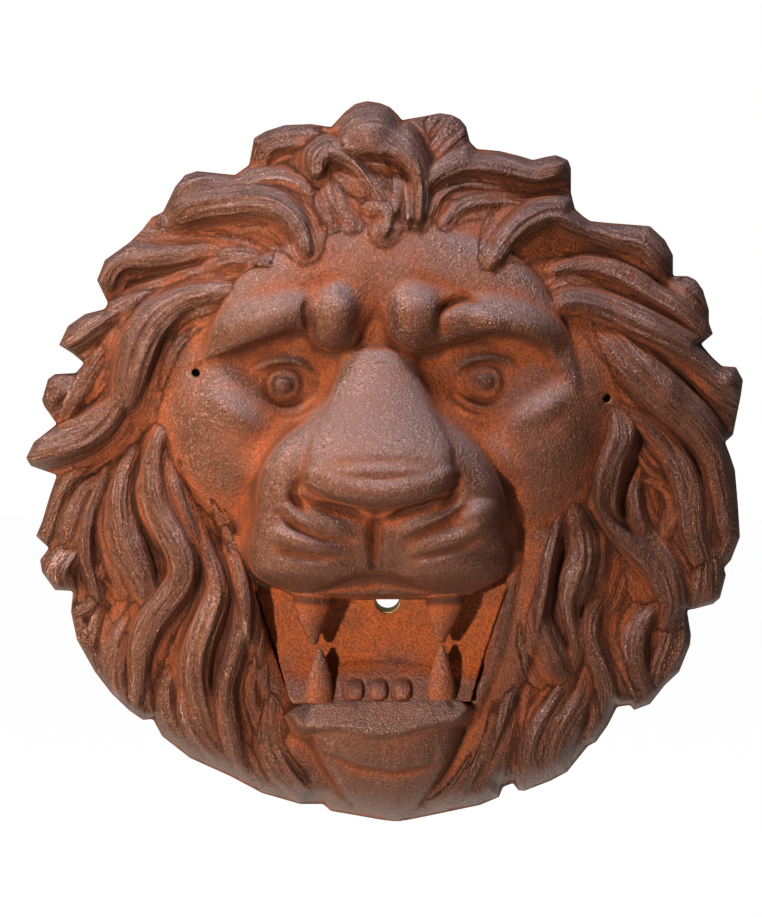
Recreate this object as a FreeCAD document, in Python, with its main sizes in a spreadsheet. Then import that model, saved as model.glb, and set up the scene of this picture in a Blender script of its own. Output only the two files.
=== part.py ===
import FreeCAD, Part

import math
import os

import Sketcher

# Garden wall fountain: a lion's mask cast in iron, hung on a wall by two screws. The mouth is closed
# from behind by a plate that carries the mouth's floor, the lower teeth and the bush for the water
# pipe. Millimetres, +Z up, the lion looks along -Y. The origin is on the wall, on the axis of the
# water hole. "Depth" is the distance in front of the wall, so a point at depth d has y = -d.

Vector = FreeCAD.Vector
Placement = FreeCAD.Placement
Rotation = FreeCAD.Rotation
TOWARDS_VIEWER = Vector(0, -1, 0)

doc = FreeCAD.newDocument("wall_fountain")


# Driving dimensions: name, value, meaning

SIZES = [
    ("mane_radius", 200.0, "radius of the domed mane inside the scalloped rim"),
    ("mane_centre_x", -2.0, "middle of the mane, across"),
    ("mane_centre_z", 85.0, "middle of the mane, up from the water hole"),
    ("rim_thickness", 15.0, "thickness of the scalloped rim that lies on the wall"),
    ("rim_draft", 0.97, "outline of the rim's front face against its back face"),
    ("dome_depth", 62.0, "depth of the dome under the locks, at its middle"),
    ("dome_fullness", 2.4, "exponent of the dome's curve"),
    ("casting_wall", 7.0, "wall of the mask"),
    ("rim_landing", 16.0, "width of the ring at the back that lies on the wall"),
    ("lock_relief", 1.0, "height of the locks against their stated heights"),
    ("lock_root", 5.0, "how deep a lock is rooted in the dome"),
    ("face_axis", -4.5, "middle of the face, across"),
    ("face_floor", 12.0, "depth where the face starts, inside the rim and the dome"),
    ("face_blend", 3.5, "how softly the face's forms run into each other"),
    ("face_relief", 1.0, "depth of the face against its stated depths"),
    ("eye_axis", -1.7, "middle between the eyes, across"),
    ("eye_offset", 61.0, "middle of an eye from the middle between them"),
    ("eye_height", 139.5, "middle of the eye, up from the water hole"),
    ("eye_depth", 64.0, "depth of the eyelids' edge, where the eyeball starts"),
    ("eye_radius", 12.0, "radius of the iris ring"),
    ("fang_offset", 40.0, "middle of a fang from the face's middle"),
    ("mouth_top", 18.0, "upper edge of the mouth opening at the ledge"),
    ("mouth_bend", -28.0, "height where the jaw edges bend"),
    ("mouth_bottom", -64.0, "lower edge of the mouth opening"),
    ("half_top", 84.0, "half width of the mouth opening, top"),
    ("half_bend", 69.0, "half width of the mouth opening at the bend"),
    ("half_bottom", 56.0, "half width of the mouth opening, bottom"),
    ("lip_height", 4.0, "underside of the upper lip at its front"),
    ("seat_depth", 42.0, "depth of the ledge that carries the mouth plate"),
    ("ledge_width", 17.0, "width of the ledge around the opening"),
    ("gasket_thickness", 2.0, "rubber gasket between ledge and plate"),
    ("flange_width", 15.0, "how far the plate's flange reaches past the opening"),
    ("flange_thickness", 5.0, "thickness of the plate's flange"),
    ("plate_depth", 48.0, "depth of the mouth's back wall"),
    ("plate_wall", 6.0, "wall of the plate's trough"),
    ("plate_gap", 0.6, "gap between the trough and the opening's edge"),
    ("screw_size", 6.0, "thread of the plate's screws"),
    ("screw_length", 16.0, "length of a plate screw under its head"),
    ("screw_clearance", 0.6, "screw hole in flange and gasket over the thread"),
    ("tapped_clearance", 0.1, "tapped hole over the thread"),
    ("tapped_depth", 12.0, "depth of the tapped holes in the ledge"),
    ("head_flats", 10.0, "screw head across flats"),
    ("head_height", 4.0, "screw head height"),
    ("washer_size", 12.0, "outer diameter of a washer"),
    ("washer_thickness", 1.6, "thickness of a washer"),
    ("spout_bore", 15.4, "bore of the bush, takes a 15 mm pipe"),
    ("spout_hole", 16.0, "water hole in the plate's front"),
    ("bush_size", 21.0, "outer diameter of the bush"),
    ("bush_clearance", 0.1, "clearance of the bush in the plate, on the diameter"),
    ("bush_shoulder", 3.0, "plate left in front of the bush"),
    ("bush_end_gap", 0.3, "gap in front of the bush's end"),
    ("bush_flats", 27.0, "hexagon of the bush across flats"),
    ("bush_hexagon", 4.0, "thickness of the hexagon"),
    ("fibre_thickness", 1.5, "thickness of the fibre washer"),
    ("boss_size", 36.0, "outer diameter of the boss around the water hole"),
    ("fixing_bore", 5.4, "fixing holes, for 5 mm screws"),
    ("fixing_boss", 18.0, "diameter of the bosses behind the fixing holes"),
]

sheet = doc.addObject("Spreadsheet::Sheet", "sizes")
for row, (alias, value, meaning) in enumerate(SIZES, start=1):
    sheet.set(f"A{row}", alias)
    sheet.set(f"B{row}", str(value))
    sheet.set(f"C{row}", meaning)
    sheet.setAlias(f"B{row}", alias)
doc.recompute()


def size(alias):
    return float(sheet.get(alias))


MANE_X, MANE_Z = size("mane_centre_x"), size("mane_centre_z")
MANE_RADIUS = size("mane_radius")
FACE_X = size("face_axis")
EYES = [(side, size("eye_axis") + side * size("eye_offset"), size("eye_height")) for side in (-1, 1)]

# Fixing holes, across and up
FIXING_HOLES = [(-119.6, 147.4), (137.3, 130.9)]

# Scalloped rim: each lock's tip with its angle and reach from the mane's middle, then the notch
# after it, going anticlockwise from the viewer's right
SCALLOPS = [
    (13.5, 236, 19.5, 217), (28, 231, 33.5, 221), (39, 229, 51.5, 202), (60, 226, 73.5, 210),
    (79.5, 226, 86, 220), (92.5, 231, 99.5, 217), (108, 225, 116, 206), (124, 224, 130, 215),
    (134, 217, 138, 213), (144.5, 221, 151, 206), (158.5, 222, 162.5, 204), (168, 224, 173.5, 213),
    (179, 232, 184, 213), (192, 232, 194.5, 225), (198.5, 234, 204, 220), (219, 236, 229, 228),
    (236, 234, 241, 231), (252, 234, 259.5, 230), (270, 238, 278, 234), (283, 237, 290.5, 227),
    (299, 238, 313, 222), (324.5, 236, 333.5, 220), (338.5, 236, 342.5, 231), (349, 235, 362.5, 220),
]

# Locks of hair: name, width, height over the dome, way from root to tip (across, up)
LOCKS = [
    ("crown_front", 24, 22, [(16, 246), (20, 272), (8, 292), (-10, 298), (-26, 291)]),
    ("crown_back", 24, 12, [(26, 284), (8, 303), (-12, 308), (-28, 298)]),
    ("crown_left", 20, 17, [(-4, 248), (-10, 268), (-24, 281), (-40, 282), (-46, 269)]),
    ("left_1", 26, 12, [(-30, 262), (-45, 284), (-62, 291), (-79, 287)]),
    ("left_2", 19, 13, [(-42, 248), (-62, 265), (-92, 267), (-124, 260)]),
    ("left_3", 21, 15, [(-56, 236), (-76, 252), (-108, 251), (-140, 241)]),
    ("left_4", 18, 12, [(-88, 222), (-120, 228), (-150, 221), (-170, 217), (-176, 203)]),
    ("left_5", 16, 10, [(-106, 209), (-138, 205), (-160, 192), (-172, 178)]),
    ("left_6", 21, 11, [(-150, 196), (-172, 187), (-188, 176), (-203, 167)]),
    ("left_7", 29, 18, [(-95, 197), (-130, 190), (-152, 172), (-158, 150), (-156, 132)]),
    ("left_8", 13, 9, [(-100, 184), (-124, 181), (-140, 167), (-146, 150)]),
    ("left_9", 20, 10, [(-166, 172), (-180, 155), (-193, 142), (-211, 134)]),
    ("left_10", 26, 15, [(-160, 150), (-168, 130), (-185, 112), (-206, 100), (-224, 92)]),
    ("left_11", 18, 10, [(-176, 112), (-188, 92), (-204, 72), (-212, 55), (-220, 40)]),
    ("left_12", 20, 12, [(-178, 90), (-190, 66), (-200, 44), (-208, 28), (-215, 12)]),
    ("left_13", 15, 9, [(-168, 92), (-178, 68), (-187, 42), (-191, 20), (-193, -2)]),
    ("left_14", 21, 15, [(-162, 96), (-172, 62), (-170, 36), (-159, 18), (-156, 0)]),
    ("left_15", 27, 17, [(-150, 98), (-150, 64), (-138, 40), (-130, 18), (-140, -4), (-155, -22),
                         (-160, -44)]),
    ("left_16", 17, 9, [(-172, 10), (-184, -6), (-195, -24), (-191, -46)]),
    ("left_17", 19, 11, [(-166, -12), (-176, -32), (-174, -52), (-168, -70)]),
    ("left_18", 23, 15, [(-122, 52), (-112, 18), (-109, -6), (-118, -30), (-128, -55), (-123, -85),
                         (-106, -112)]),
    ("left_19", 15, 10, [(-146, -40), (-149, -62), (-144, -84), (-130, -104)]),
    ("left_20", 19, 13, [(-100, 24), (-94, -10), (-95, -36), (-103, -60), (-101, -84), (-91, -104),
                         (-78, -126)]),
    ("left_21", 20, 11, [(-78, -70), (-79, -92), (-71, -112), (-58, -133)]),
    ("right_1", 27, 13, [(14, 250), (20, 275), (32, 292), (42, 298)]),
    ("right_2", 23, 13, [(26, 262), (46, 276), (76, 277), (104, 271)]),
    ("right_3", 16, 9, [(30, 246), (50, 258), (85, 260), (106, 256)]),
    ("right_4", 25, 17, [(62, 228), (84, 242), (106, 246), (134, 238), (158, 228), (170, 217)]),
    ("right_5", 23, 14, [(95, 212), (125, 216), (150, 210), (176, 200), (193, 188)]),
    ("right_6", 16, 10, [(112, 204), (132, 203), (160, 192), (184, 180), (199, 171)]),
    ("right_7", 23, 15, [(98, 190), (125, 193), (152, 182), (180, 166), (204, 152), (219, 139)]),
    ("right_8", 18, 10, [(155, 168), (178, 152), (198, 135), (214, 114)]),
    ("right_9", 18, 12, [(105, 184), (122, 175), (136, 160), (146, 143)]),
    ("right_10", 29, 17, [(128, 186), (148, 168), (168, 146), (190, 124), (207, 98), (216, 72),
                          (220, 46)]),
    ("right_11", 19, 13, [(136, 126), (148, 108), (147, 86), (140, 66), (150, 44), (168, 27),
                          (178, 8)]),
    ("right_12", 21, 13, [(156, 128), (176, 106), (190, 84), (193, 56), (200, 30), (208, 6)]),
    ("right_13", 15, 8, [(160, 96), (172, 76), (178, 56), (176, 38)]),
    ("right_14", 15, 10, [(176, 22), (185, 4), (190, -18), (187, -42)]),
    ("right_15", 19, 14, [(172, 12), (163, -8), (157, -30), (163, -52), (168, -70)]),
    ("right_16", 31, 16, [(124, 74), (118, 44), (115, 14), (113, -10)]),
    ("right_17", 15, 11, [(104, 30), (100, 2), (101, -24), (110, -50), (112, -70)]),
    ("right_18", 15, 10, [(130, 4), (127, -18), (134, -42), (141, -66)]),
    ("right_19", 25, 15, [(124, -54), (122, -76), (108, -96), (95, -114), (88, -126)]),
    ("right_20", 22, 12, [(74, -76), (70, -98), (61, -120), (50, -140)]),
]

# Section of a lock: place across in half widths, height over the dome in lock heights. Two strands
# with a groove between them. The ends of the list are the lock's roots in the dome.
LOCK_SECTION = [(-0.86, 0.55), (-0.36, 1.0), (0.0, 0.78), (0.36, 0.96), (0.88, 0.5)]

# Swellings under the mane, the skull and the jaws: across, up, half width, half height, depth, fall
# to the edge
SWELLINGS = [(0, 177, 124, 112, 86, 46), (-4, -20, 120, 98, 60, 14)]

# Forms of the face drawn level by level: up, left edge, right edge, depth on the middle
SKULL = [
    (236, -54, 50, 74), (225, -77, 76, 79), (207, -95, 94, 84), (183, -108, 107, 87), (158, -114, 115, 84),
    (133, -117, 120, 80), (107, -116, 120, 77), (82, -112, 115, 74), (56, -102, 108, 70), (30, -91, 99, 66),
    (4, -87, 92, 63), (-35, -80, 84, 60), (-75, -68, 70, 58), (-108, -55, 53, 56), (-129, -37, 34, 50),
    (-139, -27, 25, 38), (-146, -17, 15, 25),
]
NOSE = [
    (164, -23, 12, 90), (154, -27, 17, 96), (145, -30, 21, 103), (134, -36, 25, 112), (123, -42, 31, 122),
    (112, -47, 36, 132), (103, -50, 37, 139), (95, -51, 37, 143.5), (89, -50, 36, 145), (82, -48, 34, 141),
    (76, -40, 26, 134), (69, -26, 11, 127), (62, -14, 0, 122),
]
MUZZLE = [
    (118, -40, 37, 98), (108, -58, 52, 104), (97, -70, 63, 111), (82, -76, 69, 117), (67, -78, 71, 119),
    (55, -81, 74, 119), (44, -85, 75, 117), (33, -84, 74, 112), (23, -77, 68, 104), (14, -64, 55, 94),
]

# The same three with how far their sides fall back and how full they are
LEVEL_FORMS = [(SKULL, 24, 2.8), (NOSE, 22, 3.0), (MUZZLE, 36, 2.5)]

# Cheeks, round ends of the brows, chin and its lip: across, up, half width, half height, depth, fall
MOUNDS = [
    (-91, 101, 34, 48, 84, 16), (93, 103, 34, 49, 84, 16), (-34, 188, 20, 21, 103, 22),
    (20, 188, 23, 22, 103, 22), (3, -99, 60, 35, 82, 26), (3, -84, 38, 17, 92, 18),
]

# Brows, jaws, lower lip and the muzzle's pads as bands: fall to the edges, then across, up, depth and
# half width along the way
BANDS = [
    (16, [(-101, 172, 72, 9), (-86, 183, 84, 16), (-68, 192, 92, 18), (-51, 196, 94, 16)]),
    (16, [(104, 167, 72, 9), (91, 179, 84, 16), (72, 189, 92, 18), (54, 192, 94, 16)]),
    (12, [(-92, 38, 70, 12), (-87, 4, 64, 8), (-80, -32, 61, 8), (-69, -65, 60, 8), (-56, -92, 62, 13),
          (-37, -119, 56, 17)]),
    (12, [(92, 40, 68, 16), (86, 4, 65, 14), (78, -32, 62, 14), (66, -64, 61, 14), (51, -94, 61, 14),
          (34, -119, 56, 14)]),
    (8, [(-52, -68, 66, 5), (-35, -71, 78, 7), (-16, -70, 84, 8), (3, -65, 87, 9), (23, -67, 84, 8),
         (37, -66, 78, 7), (50, -60, 66, 5)]),
    (10, [(-77, 87, 98, 8), (-74, 74, 106, 10), (-67, 65, 112, 9), (-56, 61, 114, 6)]),
    (12, [(-74, 48, 98, 9), (-65, 37, 110, 13), (-50, 30, 116, 13), (-33, 31, 114, 8)]),
    (12, [(65, 49, 100, 9), (58, 37, 110, 12), (44, 31, 115, 12), (28, 34, 114, 8)]),
    (8, [(9, 50, 121, 7), (25, 55, 122, 8), (44, 63, 118, 8), (62, 70, 108, 7)]),
]

# How full the round forms are, how steeply a form falls outside its edge and past its ends
MOUND_FULLNESS = 2.4
EDGE_FALL = 2
END_FALL = 1.8

# Hollows pressed into the face, the eye sockets and the furrow between the brows: across, up, half
# width, half height, depth of the hollow
DENTS = [(across, up, 40, 27, 15) for side, across, up in EYES] + [(-10, 178, 10, 32, 5)]

# Lower edge of the muzzle, under which the lip stands back: across, up. Depth of the lip.
LIP_EDGE = [(-59, 11), (-42, 18), (-26, 24), (-11, 30), (4, 31), (19, 26), (35, 20), (51, 14)]
LIP_DEPTH = 82

# Levels of the face's sections, close where the forms are small: from, to, count
FACE_LEVELS = [(-146, -59, 8), (-59, 10, 4), (10, 236, 29)]
FACE_COLUMNS = 28

# Eyelids: width, height over the face, way from the outer to the inner corner (outwards and up from
# the middle of the eye)
EYELIDS = [
    (9, 8, [(47, 4), (28, 16), (5, 23), (-13, 20), (-25, 9)]),
    (7, 6, [(34, -1), (22, -8), (5, -11), (-12, -7), (-21, 1)]),
]

# Eye from its rim to its middle: share of the iris ring's radius, height over the eyelids' edge
EYE_PROFILE = [(1.7, -10), (1.6, 3), (1.2, 9), (1.0, 11), (0.8, 11), (0.6, 9), (0.35, 6)]


# Helpers for faceted lofts

def facet(corners):
    return Part.Face(Part.makePolygon(corners + [corners[0]]))


def is_flat(corners):
    normal = (corners[1] - corners[0]).cross(corners[2] - corners[0]).normalize()
    return all(abs(normal.dot(corner - corners[0])) < 1e-6 for corner in corners[3:])


def cap(ring):
    """One flat face, or a fan about the middle where the ring isn't flat."""
    if is_flat(ring):
        return [facet(ring)]
    middle = sum(ring, Vector()) * (1 / len(ring))
    return [facet([middle, start, end]) for start, end in zip(ring, ring[1:] + ring[:1])]


def facet_loft(rings):
    """Solid through rings of as many points each, closed at both ends."""
    faces = cap(rings[0]) + cap(rings[-1])
    for ring, after in zip(rings, rings[1:]):
        for index, corner in enumerate(ring):
            follow = (index + 1) % len(ring)
            cell = [corner, ring[follow], after[follow], after[index]]
            if is_flat(cell):
                faces.append(facet(cell))
            else:
                faces.append(facet(cell[:3]))
                faces.append(facet([cell[0], cell[2], cell[3]]))
    solid = Part.Solid(Part.Shell(faces))
    if solid.Volume < 0:
        solid.reverse()
    return solid


def curve_through(points, count):
    """Points of a smooth curve (Catmull-Rom) through the given ones."""
    before = [2 * first - second for first, second in zip(points[0], points[1])]
    beyond = [2 * last - second for last, second in zip(points[-1], points[-2])]
    padded = [before] + list(points) + [beyond]
    spans = len(points) - 1
    curve = []
    for step in range(count + 1):
        place = step / count * spans
        span = min(int(place), spans - 1)
        part = place - span
        curve.append([
            0.5 * (2 * b + (c - a) * part + (2 * a - 5 * b + 4 * c - d) * part ** 2
                   + (3 * b - a - 3 * c + d) * part ** 3)
            for a, b, c, d in zip(*padded[span:span + 4])
        ])
    return curve


def feature(name, shape):
    item = doc.addObject("Part::Feature", name)
    item.Shape = shape
    item.Label = name
    return item


# Mane: dome, scalloped rim and locks

def away(x, z, middle_x, middle_z, half_width, half_height):
    return math.hypot((x - middle_x) / half_width, (z - middle_z) / half_height)


def mound_depth(across, up, mound):
    *spot, depth, fall = mound
    return depth - fall * away(across, up, *spot) ** MOUND_FULLNESS


def dome_depth(across, up):
    """Dome under the locks, with the skull and the jaws that rise from it."""
    reach = min(math.hypot(across - MANE_X, up - MANE_Z) / MANE_RADIUS, 1.0)
    rim = size("rim_thickness")
    dome = rim + (size("dome_depth") - rim) * (1 - reach ** size("dome_fullness"))
    return max(dome, *(mound_depth(across, up, swelling) for swelling in SWELLINGS))


def polar(reach, angle, depth):
    return Vector(MANE_X + reach * math.cos(angle), -depth, MANE_Z + reach * math.sin(angle))


def circle_ring(reach, depth, corners):
    return [polar(reach, 2 * math.pi * corner / corners, depth) for corner in range(corners)]


def make_dome():
    corners, levels = 40, 7
    rings = [circle_ring(MANE_RADIUS, 0, corners)]
    for level in range(levels, 0, -1):
        reach = MANE_RADIUS * level / levels
        spots = circle_ring(reach, 0, corners)
        rings.append([Vector(spot.x, -dome_depth(spot.x, spot.z), spot.z) for spot in spots])
    return facet_loft(rings)


def rim_outline(scale, depth):
    """Scallops: a half sine from notch to tip on both sides of every tip."""
    ring = []
    steps = 3
    previous = SCALLOPS[-1]
    for scallop in SCALLOPS:
        tip_angle, tip, notch_angle, notch = scallop
        start_angle, start = previous[2] - 360 * (previous[2] > 360), previous[3]
        for step in range(steps):
            share = step / steps
            ring.append((start_angle + (tip_angle - start_angle) * share,
                         start + (tip - start) * math.sin(share * math.pi / 2)))
        for step in range(steps):
            share = step / steps
            ring.append((tip_angle + (notch_angle - tip_angle) * share,
                         tip - (tip - notch) * (1 - math.cos(share * math.pi / 2))))
        previous = scallop
    return [polar(reach * scale, math.radians(angle), depth) for angle, reach in ring]


def make_rim():
    return facet_loft([rim_outline(1.0, 0), rim_outline(size("rim_draft"), size("rim_thickness"))])


def make_lock(width, height, way, ground=dome_depth):
    length = sum(math.dist(start, end) for start, end in zip(way, way[1:]))
    count = max(3, round(length / 29))
    path = curve_through(way, count)
    root = size("lock_root")
    rings = []
    for step, (across, up) in enumerate(path):
        ahead, behind = path[min(step + 1, count)], path[max(step - 1, 0)]
        run = math.dist(ahead, behind)
        side = ((ahead[1] - behind[1]) / run, (behind[0] - ahead[0]) / run)
        share = step / count
        swell = math.sin(math.pi * min(1, 0.12 + 1.15 * share))
        taper = 1 - 2 * max(0, share - 0.75)
        half = width / 2 * (0.62 + 0.38 * swell) * taper
        crest = height * size("lock_relief") * (0.4 + 0.6 * math.sin(math.pi * (0.12 + 0.74 * share)))
        ring = []
        for place, rise in [(-1, None)] + LOCK_SECTION + [(1, None)]:
            x, z = across + side[0] * place * half, up + side[1] * place * half
            over = -root if rise is None else rise * crest
            ring.append(Vector(x, -ground(x, z) - over, z))
        rings.append(ring)
    return facet_loft(rings)


# Face: one loft of level sections, each drawn by the same forms

def fall_off(offset, fullness):
    """From 0 on the middle of a form to 1 at its edge, and steeply on outside."""
    inside = 1 - (1 - min(offset, 1) ** fullness) ** (1 / fullness)
    return inside + EDGE_FALL * max(0, offset - 1)


def level_section(levels, up):
    """Left edge, right edge and depth of a form at a height, and how far the height is past its ends."""
    top, bottom = levels[0][0], levels[-1][0]
    past = max(up - top, bottom - up, 0)
    up = min(max(up, bottom), top)
    for (up1, *first), (up2, *second) in zip(levels, levels[1:]):
        if up2 <= up <= up1:
            share = (up1 - up) / (up1 - up2)
            return [start + share * (end - start) for start, end in zip(first, second)] + [past]


def level_depth(x, z, levels, fall, fullness):
    left, right, depth, past = level_section(levels, z)
    offset = abs(x - (left + right) / 2) / ((right - left) / 2)
    return depth - fall * fall_off(offset, fullness) - END_FALL * past


def band_depth(x, z, fall, points):
    nearest, best = 1e9, 0
    for (x1, z1, d1, w1), (x2, z2, d2, w2) in zip(points, points[1:]):
        run = (x2 - x1) ** 2 + (z2 - z1) ** 2
        share = min(1, max(0, ((x - x1) * (x2 - x1) + (z - z1) * (z2 - z1)) / run))
        half = w1 + share * (w2 - w1)
        offset = math.hypot(x - x1 - share * (x2 - x1), z - z1 - share * (z2 - z1)) / half
        if offset < nearest:
            nearest, best = offset, d1 + share * (d2 - d1)
    return best - fall * fall_off(nearest, 2)


def under_muzzle(x, z):
    """Whether a spot is on the lip, under the muzzle's edge."""
    for (x1, z1), (x2, z2) in zip(LIP_EDGE, LIP_EDGE[1:]):
        if x1 <= x <= x2:
            return z < z1 + (z2 - z1) * (x - x1) / (x2 - x1)
    return False


def face_depth(across, up):
    """All forms blended, the hollows pressed in and the lip set back."""
    blend = size("face_blend")
    depths = [level_depth(across, up, *form) for form in LEVEL_FORMS]
    depths += [mound_depth(across, up, mound) for mound in MOUNDS]
    depths += [band_depth(across, up, fall, points) for fall, points in BANDS]
    highest = max(depths)
    depth = highest + blend * math.log(sum(math.exp((depth - highest) / blend) for depth in depths))
    for *spot, sink in DENTS:
        depth -= sink * math.exp(-away(across, up, *spot) ** MOUND_FULLNESS)
    if under_muzzle(across, up):
        depth = min(depth, LIP_DEPTH)
    floor = size("face_floor")
    return floor + (max(depth, floor) - floor) * size("face_relief")


def face_edges(up):
    return level_section(SKULL, up)[:2]


def make_face():
    """Level sections from the chin to the hair, each a row of points with two corners behind."""
    back = size("face_floor") - 2
    heights = [
        start + (end - start) * step / steps
        for start, end, steps in FACE_LEVELS for step in range(steps)
    ] + [FACE_LEVELS[-1][1]]
    rings = []
    for up in heights:
        left, right = face_edges(up)
        ring = [Vector(left, -back, up)]
        for column in range(FACE_COLUMNS + 1):
            across = left + (right - left) * column / FACE_COLUMNS
            ring.append(Vector(across, -face_depth(across, up), up))
        ring.append(Vector(right, -back, up))
        rings.append(ring)
    return facet_loft(rings)


def make_eye(across, up):
    corners = 10
    rings = []
    for share, height in EYE_PROFILE:
        reach, depth = share * size("eye_radius"), size("eye_depth") + height
        rings.append([
            Vector(across + reach * math.cos(2 * math.pi * corner / corners), -depth,
                   up + reach * math.sin(2 * math.pi * corner / corners))
            for corner in range(corners)
        ])
    return facet_loft(rings)


def front_depth(across, up):
    left, right = face_edges(up)
    if SKULL[-1][0] < up < SKULL[0][0] and left < across < right:
        return max(dome_depth(across, up), face_depth(across, up))
    return dome_depth(across, up)


def around(across, up, reach=12, count=6):
    turns = [2 * math.pi * turn / count for turn in range(count)]
    return [(across + reach * math.cos(turn), up + reach * math.sin(turn)) for turn in turns]


def hollow_depth(across, up):
    """A wall's thickness behind the shallowest front nearby, evened out."""
    lowest = [min(front_depth(*spot) for spot in around(*place) + [place]) for place in around(across, up)]
    return sum(lowest) / len(lowest) - size("casting_wall")


def make_hollow():
    corners, levels = 36, 8
    outer = MANE_RADIUS - size("rim_landing")
    rings = [circle_ring(outer, -1, corners)]
    for level in range(levels, 0, -1):
        reach = outer * level / levels
        ring = circle_ring(reach, 0, corners)
        rings.append([Vector(spot.x, -hollow_depth(spot.x, spot.z), spot.z) for spot in ring])
    return facet_loft(rings)


# Mouth: outline of the opening, grown by a margin

def mouth_outline(margin, depth, top=None):
    slope = (size("half_top") - size("half_bend")) / (size("mouth_top") - size("mouth_bend"))
    upper = (size("mouth_top") if top is None else top) + margin
    lower = size("mouth_bottom") - margin
    side = margin * math.hypot(1, slope)
    half_upper = size("half_bend") + slope * (upper - size("mouth_bend")) + side
    corners = [
        (-half_upper, upper), (-size("half_bend") - side, size("mouth_bend")),
        (-size("half_bottom") - margin, lower), (size("half_bottom") + margin, lower),
        (size("half_bend") + side, size("mouth_bend")), (half_upper, upper),
    ]
    return [Vector(FACE_X + across, -depth, up) for across, up in corners]


def mouth_block(margin, back, front):
    return facet_loft([mouth_outline(margin, back), mouth_outline(margin, front)])


# Roof of the mouth in front of the plate: depth past the plate, share of the way down to the lip
MOUTH_ROOF = [(10, 0.3), (150, 2.6)]


def make_opening():
    """The open mouth in front of the ledge: past the plate, its roof comes down to the upper lip."""
    plate = size("plate_depth")
    top = size("mouth_top")
    drop = top - size("lip_height")
    rings = [mouth_outline(0, size("seat_depth") - 1), mouth_outline(0, plate + 2)]
    for ahead, share in MOUTH_ROOF:
        rings.append(mouth_outline(0, plate + ahead, top=top - share * drop))
    return facet_loft(rings)


def make_tooth(across, start, end):
    """Fang: rings of eight corners, from (up, depth, half width) at the gum to those at the tip."""
    corners = 8
    rings = []
    for level in range(5):
        share = level / 4
        up = start[0] + (end[0] - start[0]) * share
        depth = start[1] + (end[1] - start[1]) * share
        half = start[2] + (end[2] - start[2]) * share ** 1.6
        rings.append([
            Vector(across + half * math.cos(2 * math.pi * corner / corners),
                   -depth - 0.9 * half * math.sin(2 * math.pi * corner / corners), up)
            for corner in range(corners)
        ])
    return facet_loft(rings)


def cylinder(radius, back, front, across=0.0, up=0.0):
    return Part.makeCylinder(radius, front - back, Vector(across, -back, up), TOWARDS_VIEWER)


# Helpers for turned and drilled forms: a rod lies along Y and grows towards the viewer from "back"

def rod(name, diameter, length, back, across=0.0, up=0.0):
    item = doc.addObject("Part::Cylinder", name)
    item.setExpression("Radius", f"({diameter}) / 2")
    item.setExpression("Height", length)
    item.Placement = Placement(Vector(across, 0, up), Rotation(Vector(1, 0, 0), 90))
    item.setExpression("Placement.Base.y", f"-({back})")
    return item


def hexagon(name, flats, length, back, across=0.0, up=0.0):
    item = doc.addObject("Part::Prism", name)
    item.Polygon = 6
    item.setExpression("Circumradius", f"({flats}) / sqrt(3)")
    item.setExpression("Height", length)
    item.Placement = Placement(Vector(across, 0, up), Rotation(Vector(1, 0, 0), 90))
    item.setExpression("Placement.Base.y", f"-({back})")
    return item


def fuse(name, items):
    item = doc.addObject("Part::MultiFuse", name)
    item.Shapes = items
    item.Label = name
    return item


def cut(name, base, tool):
    item = doc.addObject("Part::Cut", name)
    item.Base = base
    item.Tool = tool
    item.Label = name
    return item


def common(name, items):
    item = doc.addObject("Part::MultiCommon", name)
    item.Shapes = items
    item.Label = name
    return item


def group(name, items):
    item = doc.addObject("Part::Compound", name)
    item.Links = items
    item.Label = name
    return item


# Screws of the mouth plate stand in the middle of its flange, one on each side of the opening

def screw_places():
    corners = mouth_outline(size("flange_width") / 2, 0)
    middles = [(start + end) * 0.5 for start, end in zip(corners, corners[1:] + corners[:1])]
    return [(middle.x, middle.z) for middle in middles]


SCREWS = screw_places()


# Mask casting

def make_mask():
    """Everything in front fused, the space behind taken out but for the ledge and the bosses, with a
    recess for the plate's flange, then the mouth opened, the upper fangs hung in it and the holes bored."""
    locks = [make_lock(width, height, way) for name, width, height, way in LOCKS]
    eyes = [make_eye(across, up) for side, across, up in EYES]
    eyelids = [
        make_lock(width, height, [(across + side * out, up + over) for out, over in way], face_depth)
        for side, across, up in EYES for width, height, way in EYELIDS
    ]
    front = make_dome().multiFuse([make_rim(), make_face()] + eyes + eyelids + locks)
    ledge = mouth_block(size("ledge_width"), size("seat_depth"), 190)
    beyond = size("dome_depth") + 20
    bosses = [cylinder(size("fixing_boss") / 2, -5, beyond, across, up) for across, up in FIXING_HOLES]
    recess = mouth_block(size("ledge_width"), -1, size("seat_depth"))
    shell = front.cut([make_hollow().cut([ledge] + bosses), recess])
    fangs = [
        make_tooth(FACE_X + side * size("fang_offset"), *UPPER_FANG)
        for side in (-1, 1)
    ]
    toothed = shell.cut(make_opening()).multiFuse(fangs)
    bores = [cylinder(size("fixing_bore") / 2, -5, beyond, across, up) for across, up in FIXING_HOLES]
    seat = size("seat_depth")
    radius = (size("screw_size") + size("tapped_clearance")) / 2
    bores += [cylinder(radius, seat - 1, seat + size("tapped_depth"), across, up) for across, up in SCREWS]
    return toothed.cut(bores)


# Fangs: (up, depth, half width) at the gum and at the tip
UPPER_FANG = ((18, 72, 15), (-20, 70, 3.5))
LOWER_FANG = ((-61, 72, 11.5), (-27, 66, 3.2))

lion_mask = feature("lion_mask", make_mask())


# Mouth plate: a flange behind the ledge and a trough that closes the mouth, open at the back

FLANGE_FRONT = size("seat_depth") - size("gasket_thickness")
FLANGE_BACK = FLANGE_FRONT - size("flange_thickness")

# Front of the trough from top to bottom: up, depth in front of the mouth's back wall
TROUGH = [(24, 0), (-18, 0), (-27, 1), (-35, 4), (-42, 9), (-48, 15), (-54, 21), (-60, 28), (-70, 38)]


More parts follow.
